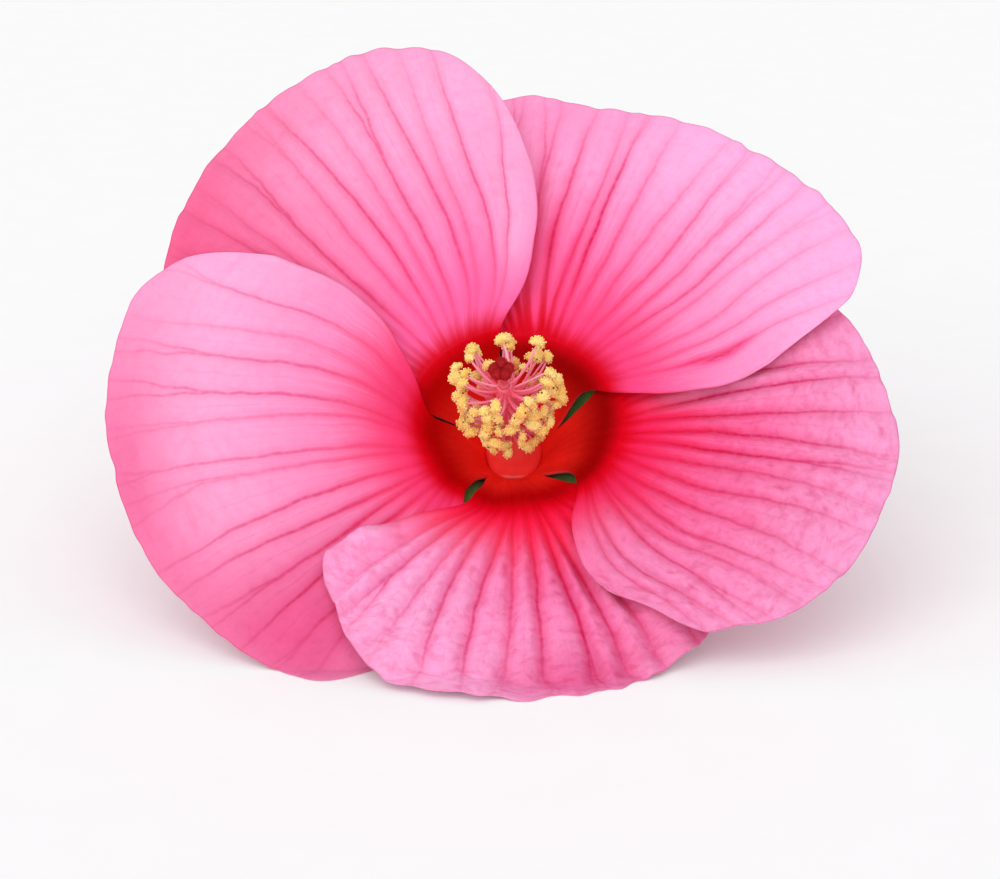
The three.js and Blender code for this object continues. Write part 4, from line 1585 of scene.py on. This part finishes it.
@dataclass(frozen=True)
class Calyx:
    """The green cup and its five pointed lobes behind the petals."""

    lobes: int = 5
    first: float = math.radians(28)  # azimuth of a lobe's tip
    notch: float = 12.0  # the border's radius between two lobes, mm
    tip: float = 26.0  # its radius at a lobe's tip
    neck: float = 7.4  # radius at which the lobes start
    thickness: float = 0.8
    columns: int = 240
    rows: int = 34
    hair_count: int = 900

    def off_rib(self, azimuth: Array) -> Array:
        """How far an azimuth is turned from the nearest lobe's middle rib, radians."""
        lobe = FULL_TURN / self.lobes
        return np.mod(azimuth - self.first + lobe / 2, lobe) - lobe / 2

    def reach(self, azimuth: Array) -> Array:
        """Radius of the calyx's border."""
        share = np.abs(self.off_rib(azimuth)) * 2 * self.lobes / FULL_TURN
        return self.notch + (self.tip - self.notch) * np.clip(1 - share, 0, 1) ** 0.8

    def behind_bowl(self, radius: Array, azimuth: Array, distance: Array) -> Array:
        """Points behind the petals' bowl, square to it.

        Args:
            radius: Of the point on the bowl, mm.
            azimuth: Radians.
            distance: How far behind it, mm.

        Returns:
            The points.
        """
        slope = np.arctan((BOWL.height(radius + 0.01) - BOWL.height(radius - 0.01)) / 0.02)
        out = radius + distance * np.sin(slope)
        return polar(out, azimuth, BOWL.height(radius) - distance * np.cos(slope))

    def points(self, face: Face, azimuth: Array, along: Array) -> Array:
        """Points of one face, which runs from the cup's floor to the lobes' border.

        Args:
            face: Which face.
            azimuth: Radians.
            along: From 0 at the floor to 1 at the border.

        Returns:
            The points.
        """
        radius, height = (curve_through((0, 0.12, 0.3), outline, along) for outline in face.value)
        out = self.neck + ((along - 0.3) / 0.7).clip(0, 1) * (self.reach(azimuth) - self.neck)
        behind = 1.2 + 0.7 * between(out, self.neck, self.neck + 12)
        if face is Face.OUTER:
            behind = behind + self.thickness
        blend = between(along, 0.22, 0.42)[..., None]
        return polar(radius, azimuth, height) * (1 - blend) + self.behind_bowl(out, azimuth, behind) * blend

    def surface(self) -> Surface:
        """A closed cup: an inner and an outer face, joined at the border and closed below.

        Returns:
            The cup, with its ribs, its length and which face is outside.
        """
        azimuth = self.first + np.arange(self.columns) * FULL_TURN / self.columns
        azimuth, along = np.meshgrid(azimuth, np.linspace(0, 1, self.rows), indexing="ij")
        inner, outer = (self.points(face, azimuth, along) for face in Face)
        off = self.off_rib(azimuth)
        ribs = hump(off, 0, 0.03) + 0.5 * hump(np.abs(off), 0.22, 0.03)
        swell = 0.3 * ribs * between(along, 0.1, 0.4) * (1 - 0.6 * along)
        outer = outer + unit(outer - inner + 1e-9) * swell[..., None]
        both = np.concatenate([inner[:, ::-1], outer], 1)
        points = np.concatenate([both.reshape(-1, 3), [[0, 0, -0.3], [0, 0, -2.3]]])
        rows, floor = 2 * self.rows, len(points) - 2
        ring = np.arange(self.columns) * rows
        caps = np.concatenate([fan(floor, ring), fan(floor + 1, ring[::-1] + rows - 1)])
        quads = grid_quads(self.columns, rows, around=True)[:, ::-1]
        values = {"off": (off, off), "along": (along[:, ::-1], along), "back": (0 * along, 0 * along + 1)}
        packed = {key: np.append(np.concatenate(pair, 1), [0.0, 0.0]) for key, pair in values.items()}
        return Surface(points, quads, caps, packed)

    def hairs(self) -> Surface:
        """Short soft hairs on the outer face, each leaning its own way.

        Returns:
            The hairs.
        """
        k = np.arange(self.hair_count)
        azimuth, along = k * GOLDEN_TURN, 0.06 + 0.9 * ((k * 0.7548776662) % 1.0)
        foot = self.points(Face.OUTER, azimuth, along)
        out = unit(foot - self.points(Face.INNER, azimuth, along))
        lean = unit(out + 0.5 * np.stack([np.sin(k * 1.3), np.sin(k * 2.9), np.cos(k * 1.9)], -1))
        size = (0.7 + 0.3 * np.sin(k * 3.7))[:, None]
        bend, tip = foot + lean * 0.5 * size, foot + (lean + out * 0.2) * size
        return bristles(foot - out * 0.1, bend, tip, (0.06, 0.045, 0.015), 3)


class GreenSkin(Skin):
    """The base of the green skins: two greens in soft patches."""

    rib = "86a85c"

    def patchy(self, effects: Effects, size: float, dark: str, light: str) -> Socket:
        """A darker and a lighter green in soft patches of a size in metres."""
        patches = self.group(effects.mottle, Vector=self.place(), Size=size).outputs["Mask"]
        return self.mix(self.ramp(patches, -0.9, 0.9), paint(dark), paint(light))


class LeafSkin(GreenSkin):
    """A matt green skin with paler ribs and fibres."""

    def __init__(self, name: str, effects: Effects, dark: str, light: str) -> None:
        """Builds it.

        Args:
            name: The material's name.
            effects: The shared node groups.
            dark: The darker green.
            light: The lighter one.
        """
        super().__init__(
            name, Subsurface_Weight=0.08, Subsurface_Radius=(0.4, 1.0, 0.2), Subsurface_Scale=0.001,
            Specular_IOR_Level=0.4, Sheen_Weight=0.1,
        )
        off, rib = self.value("off"), paint(self.rib)
        ribs = self.times(self.ramp(self.math("ABSOLUTE", off), 0.0, 0.06, 0.8, 0.0), self.value("back"))
        colour = self.mix(ribs, self.patchy(effects, 0.004, dark, light), rib)
        fibre = self.drawn(self.times(off, 40.0), self.times(self.value("along"), 6.0), detail=3.0)
        colour = self.mix(self.ramp(fibre, 0.55, 0.75, 0.0, 0.35), colour, rib)
        cells = self.grain(self.place(), 1800.0)
        self.dress(colour, self.line(cells, 0.2, 0.5), self.line(fibre, 0.6, cells), 0.00015)


class StemSkin(GreenSkin):
    """A smooth green stem with lengthwise fibres and a pale cut end."""

    def __init__(self, effects: Effects) -> None:
        """Builds it.

        Args:
            effects: The shared node groups.
        """
        super().__init__(
            "stalk_skin", Subsurface_Weight=0.1, Subsurface_Radius=(0.4, 1.0, 0.2),
            Subsurface_Scale=0.0012, Specular_IOR_Level=0.45, Coat_Weight=0.08, Coat_Roughness=0.4,
        )
        green = self.patchy(effects, 0.006, "4b7a2c", "6f9c44")
        around, along = self.times(self.value("round"), 9.0), self.times(self.value("along"), 5.0)
        fibre = self.drawn(around, along, detail=3.0)
        colour = self.mix(self.value("cut"), green, paint("c9d6a0"))
        self.dress(colour, self.line(fibre, 0.2, 0.4), fibre, 0.0002)


class PlantHair(Skin):
    """Pale, nearly white hair."""

    def __init__(self) -> None:
        """Builds it."""
        super().__init__("plant_hair", Roughness=0.5, Specular_IOR_Level=0.4)
        self.dress(self.mix(self.value("along"), paint("a9bf86"), paint("e4ecd0")))


@dataclass(frozen=True)
class Bracts:
    """The receptacle and twelve narrow bracts."""

    count: int = 12
    stations: tuple[float, ...] = (0, 0.2, 0.4, 0.6, 0.8, 1)  # along a bract
    radii: tuple[float, ...] = (3.6, 7.6, 11.5, 14.8, 17.8, 20.8)  # distance from the axis there
    heights: tuple[float, ...] = (-3.6, -3.3, -1.2, 2.8, 7.4, 12)
    widths: tuple[float, ...] = (1.5, 1.9, 2.2, 2.1, 1.5, 0.4)
    steps: int = 40
    sides: int = 10

    def surface(self) -> Surface:
        """Blades with a keeled back and a channelled front, and the receptacle.

        Returns:
            All of them as one surface.
        """
        share = np.linspace(0, 1, self.steps)
        outlines = (self.radii, self.heights, self.widths)
        radius, height, width = (curve_through(self.stations, values, share) for values in outlines)
        i = np.arange(self.count)[:, None]
        azimuth = i / self.count * FULL_TURN + 0.15 + 0.07 * np.sin(i * 2.7) * share**2
        paths = polar(radius + 0.5 * np.sin(i * 1.9) * share**2, azimuth, height)
        angle = np.arange(self.sides) * FULL_TURN / self.sides
        flat = 1 / np.sqrt(np.cos(angle) ** 2 + (np.sin(angle) / 0.36) ** 2)
        flat = np.maximum(flat, 0.25 + 0.18 * (np.abs(np.sin(angle)) > 0.9))
        blades = tubes(paths, np.tile(width[:, None] / 2 * flat, (self.count, 1, 1)), self.sides)
        z = np.linspace(-4.6, -2.6, 14)
        swell = curve_through((-4.6, -3.6, -2.6), (3.4, 4.6, 4.6), z)
        both = blades.joined(tubes(polar(0.0, 0.0, z)[None], swell[None], 40))
        both.values["off"] = np.full(len(both.points), 0.5)
        both.values["back"] = np.ones(len(both.points))
        return both


@dataclass(frozen=True)
class Stalk:
    """The short flower stalk with its joint and its cut end."""

    radius: float = 2.1
    joint: float = 0.55  # where it is, as a share of the length
    steps: int = 120
    sides: int = 28
    hair_count: int = 420

    def path(self) -> Array:
        """A cubic from under the receptacle to the cut end that lies on the table.

        Returns:
            Its points.
        """
        bend, end = LIE.from_table([[1.2, 27.6, -18.2], [4, 46, -18.2]])
        t = np.linspace(0, 1, self.steps)[:, None]
        upper = (1 - t) ** 3 * [0, 0, -4.9] + 3 * t * (1 - t) ** 2 * [0, 0, -16.9]
        return upper + 3 * t * t * (1 - t) * bend + t**3 * end

    def surface(self) -> Surface:
        """The stem with faint ridges, a swollen joint and a cut face.

        Returns:
            The stem.
        """
        share = np.linspace(0, 1, self.steps)[:, None]
        angle = np.arange(self.sides) * FULL_TURN / self.sides
        radius = self.radius + 0.35 * hump(share, self.joint, 0.06) - 0.25 * np.sin(math.pi * share)
        ridges = 1 + 0.02 * np.sin(7 * angle) + 0.012 * noise(angle * 3, share * 30, 4.0)
        stem = tubes(self.path()[None], (radius * ridges)[None], self.sides)
        stem.values["round"] = np.append(np.tile(angle, self.steps), [0.0, 0.0])
        stem.values["cut"] = np.zeros(len(stem.points))
        stem.values["cut"][-1] = 1.0
        return stem

    def hairs(self) -> Surface:
        """Short hairs that stand off the stem, spread by the golden ratio.

        Returns:
            The hairs.
        """
        k = np.arange(self.hair_count)
        i = ((k * 0.618) % 1.0 * (self.steps - 8)).astype(int) + 4
        path = self.path()
        ahead = unit(np.gradient(path, axis=0))[i]
        out = frames_along(ahead, k * 2.4)[:, 0]
        foot = path[i] + out * (self.radius - 0.15)
        return bristles(foot, foot + out * 0.35, foot + out * 0.65 + ahead * 0.1, (0.05, 0.04, 0.012), 3)


# ------------------------------------------------------------------ studio


class FloorPaint(Skin):
    """Matt white with a faint grain."""

    def __init__(self) -> None:
        """Builds it."""
        super().__init__("floor_paint", Specular_IOR_Level=0.1)
        grain = self.grain(self.place(), 60.0)
        self.dress(self.mix(grain, paint("fbfbfc"), paint("fefeff")), self.line(grain, 0.05, 0.85))


@dataclass(frozen=True)
class Studio:
    """The pale floor, the soft light and the camera at the photograph's angle."""

    azimuth: float = 4.0
    elevation: float = 19.0
    distance: float = 566.7  # from the throat, mm
    lens: float = 85.0
    sensor: float = 36.0
    throat_pixel: tuple[float, float] = (515.0, 470.0)  # where the throat shows in the frame
    floor_reach: float = 6.0
    room_light: float = 0.7
    key_from: tuple[float, float, float] = (-0.22, -0.84, 0.7)
    key_spread: float = 80.0  # degrees across, as of a wide softbox
    key_power: float = 1.45

    @staticmethod
    def placed(name: str, data: bpy.types.ID) -> bpy.types.Object:
        """Puts something into the scene.

        Args:
            name: The new object's name.
            data: Its mesh, light or camera.

        Returns:
            The object.
        """
        thing = bpy.data.objects.new(name, data)
        bpy.context.scene.collection.objects.link(thing)
        return thing

    def camera(self) -> None:
        """Sees the throat at its place in the frame, looking down at the flower."""
        a, e = math.radians(self.azimuth), math.radians(self.elevation)
        back = np.array([math.sin(a) * math.cos(e), -math.cos(a) * math.cos(e), math.sin(e)])
        right = np.array([math.cos(a), math.sin(a), 0.0])
        up = np.cross(back, right)
        pixel = self.distance / (FRAME_WIDTH * self.lens / self.sensor)  # its size at the throat, mm
        aside = (self.throat_pixel[0] - FRAME_WIDTH / 2) * pixel
        below = (self.throat_pixel[1] - FRAME_HEIGHT / 2) * pixel
        place = np.array(LIE.throat) + back * self.distance - right * aside + up * below
        data = bpy.data.cameras.new("photo_angle")
        data.lens, data.sensor_width = self.lens, self.sensor
        data.clip_start, data.clip_end = 0.01, 50.0
        camera = self.placed("photo_angle", data)
        camera.location = place * MM
        camera.rotation_euler = Matrix(np.stack([right, up, back], 1).tolist()).to_euler()
        bpy.context.scene.camera = camera

    def floor(self) -> None:
        """A wide matt floor."""
        mesh, r = bpy.data.meshes.new("floor"), self.floor_reach
        mesh.from_pydata([(-r, -r, 0), (r, -r, 0), (r, r, 0), (-r, r, 0)], [], [(0, 1, 2, 3)])
        mesh.materials.append(FloorPaint().material)
        self.placed("floor", mesh)

    def key_light(self) -> None:
        """A far soft light, from above the camera and a little from its left."""
        data = bpy.data.lights.new("key_light", "SUN")
        data.angle, data.energy = math.radians(self.key_spread), self.key_power
        lamp = self.placed("key_light", data)
        lamp.location = self.key_from
        lamp.rotation_euler = Vector(self.key_from).to_track_quat("Z", "Y").to_euler()

    def build(self) -> None:
        """Sets the whole studio."""
        scene = bpy.context.scene
        scene.view_settings.view_transform = "Standard"
        scene.view_settings.look = "None"
        scene.world = bpy.data.worlds.new("soft_room")
        scene.world.use_nodes = True
        room = scene.world.node_tree.nodes["Background"].inputs
        room["Color"].default_value = (1.0, 1.0, 1.0, 1.0)
        room["Strength"].default_value = self.room_light
        self.camera()
        self.floor()
        self.key_light()


# ------------------------------------------------------------------ the flower


def main() -> None:
    """Builds the studio and the flower."""
    logging.basicConfig(level=logging.INFO, format="%(message)s")
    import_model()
    Studio().build()
    effects = Effects()
    petals = Petals(effects)
    for form in PETAL_FORMS:
        petals.build(form)
    ColumnParts().build()
    Pistil().build()
    calyx, stalk, hair = Calyx(), Stalk(), PlantHair()
    leaf = LeafSkin("calyx_skin", effects, "35591f", "4f7a30")
    blade = LeafSkin("bract_skin", effects, "3d6424", "5a8636")
    make_piece("calyx_cup", calyx.surface(), leaf, "calyx")
    make_piece("calyx_hairs", calyx.hairs(), hair, "calyx")
    make_piece("bract_blades", Bracts().surface(), blade, "bracts")
    make_piece("stalk_stem", stalk.surface(), StemSkin(effects), "stalk")
    make_piece("stalk_hairs", stalk.hairs(), hair, "stalk")


if __name__ == "__main__":
    main()
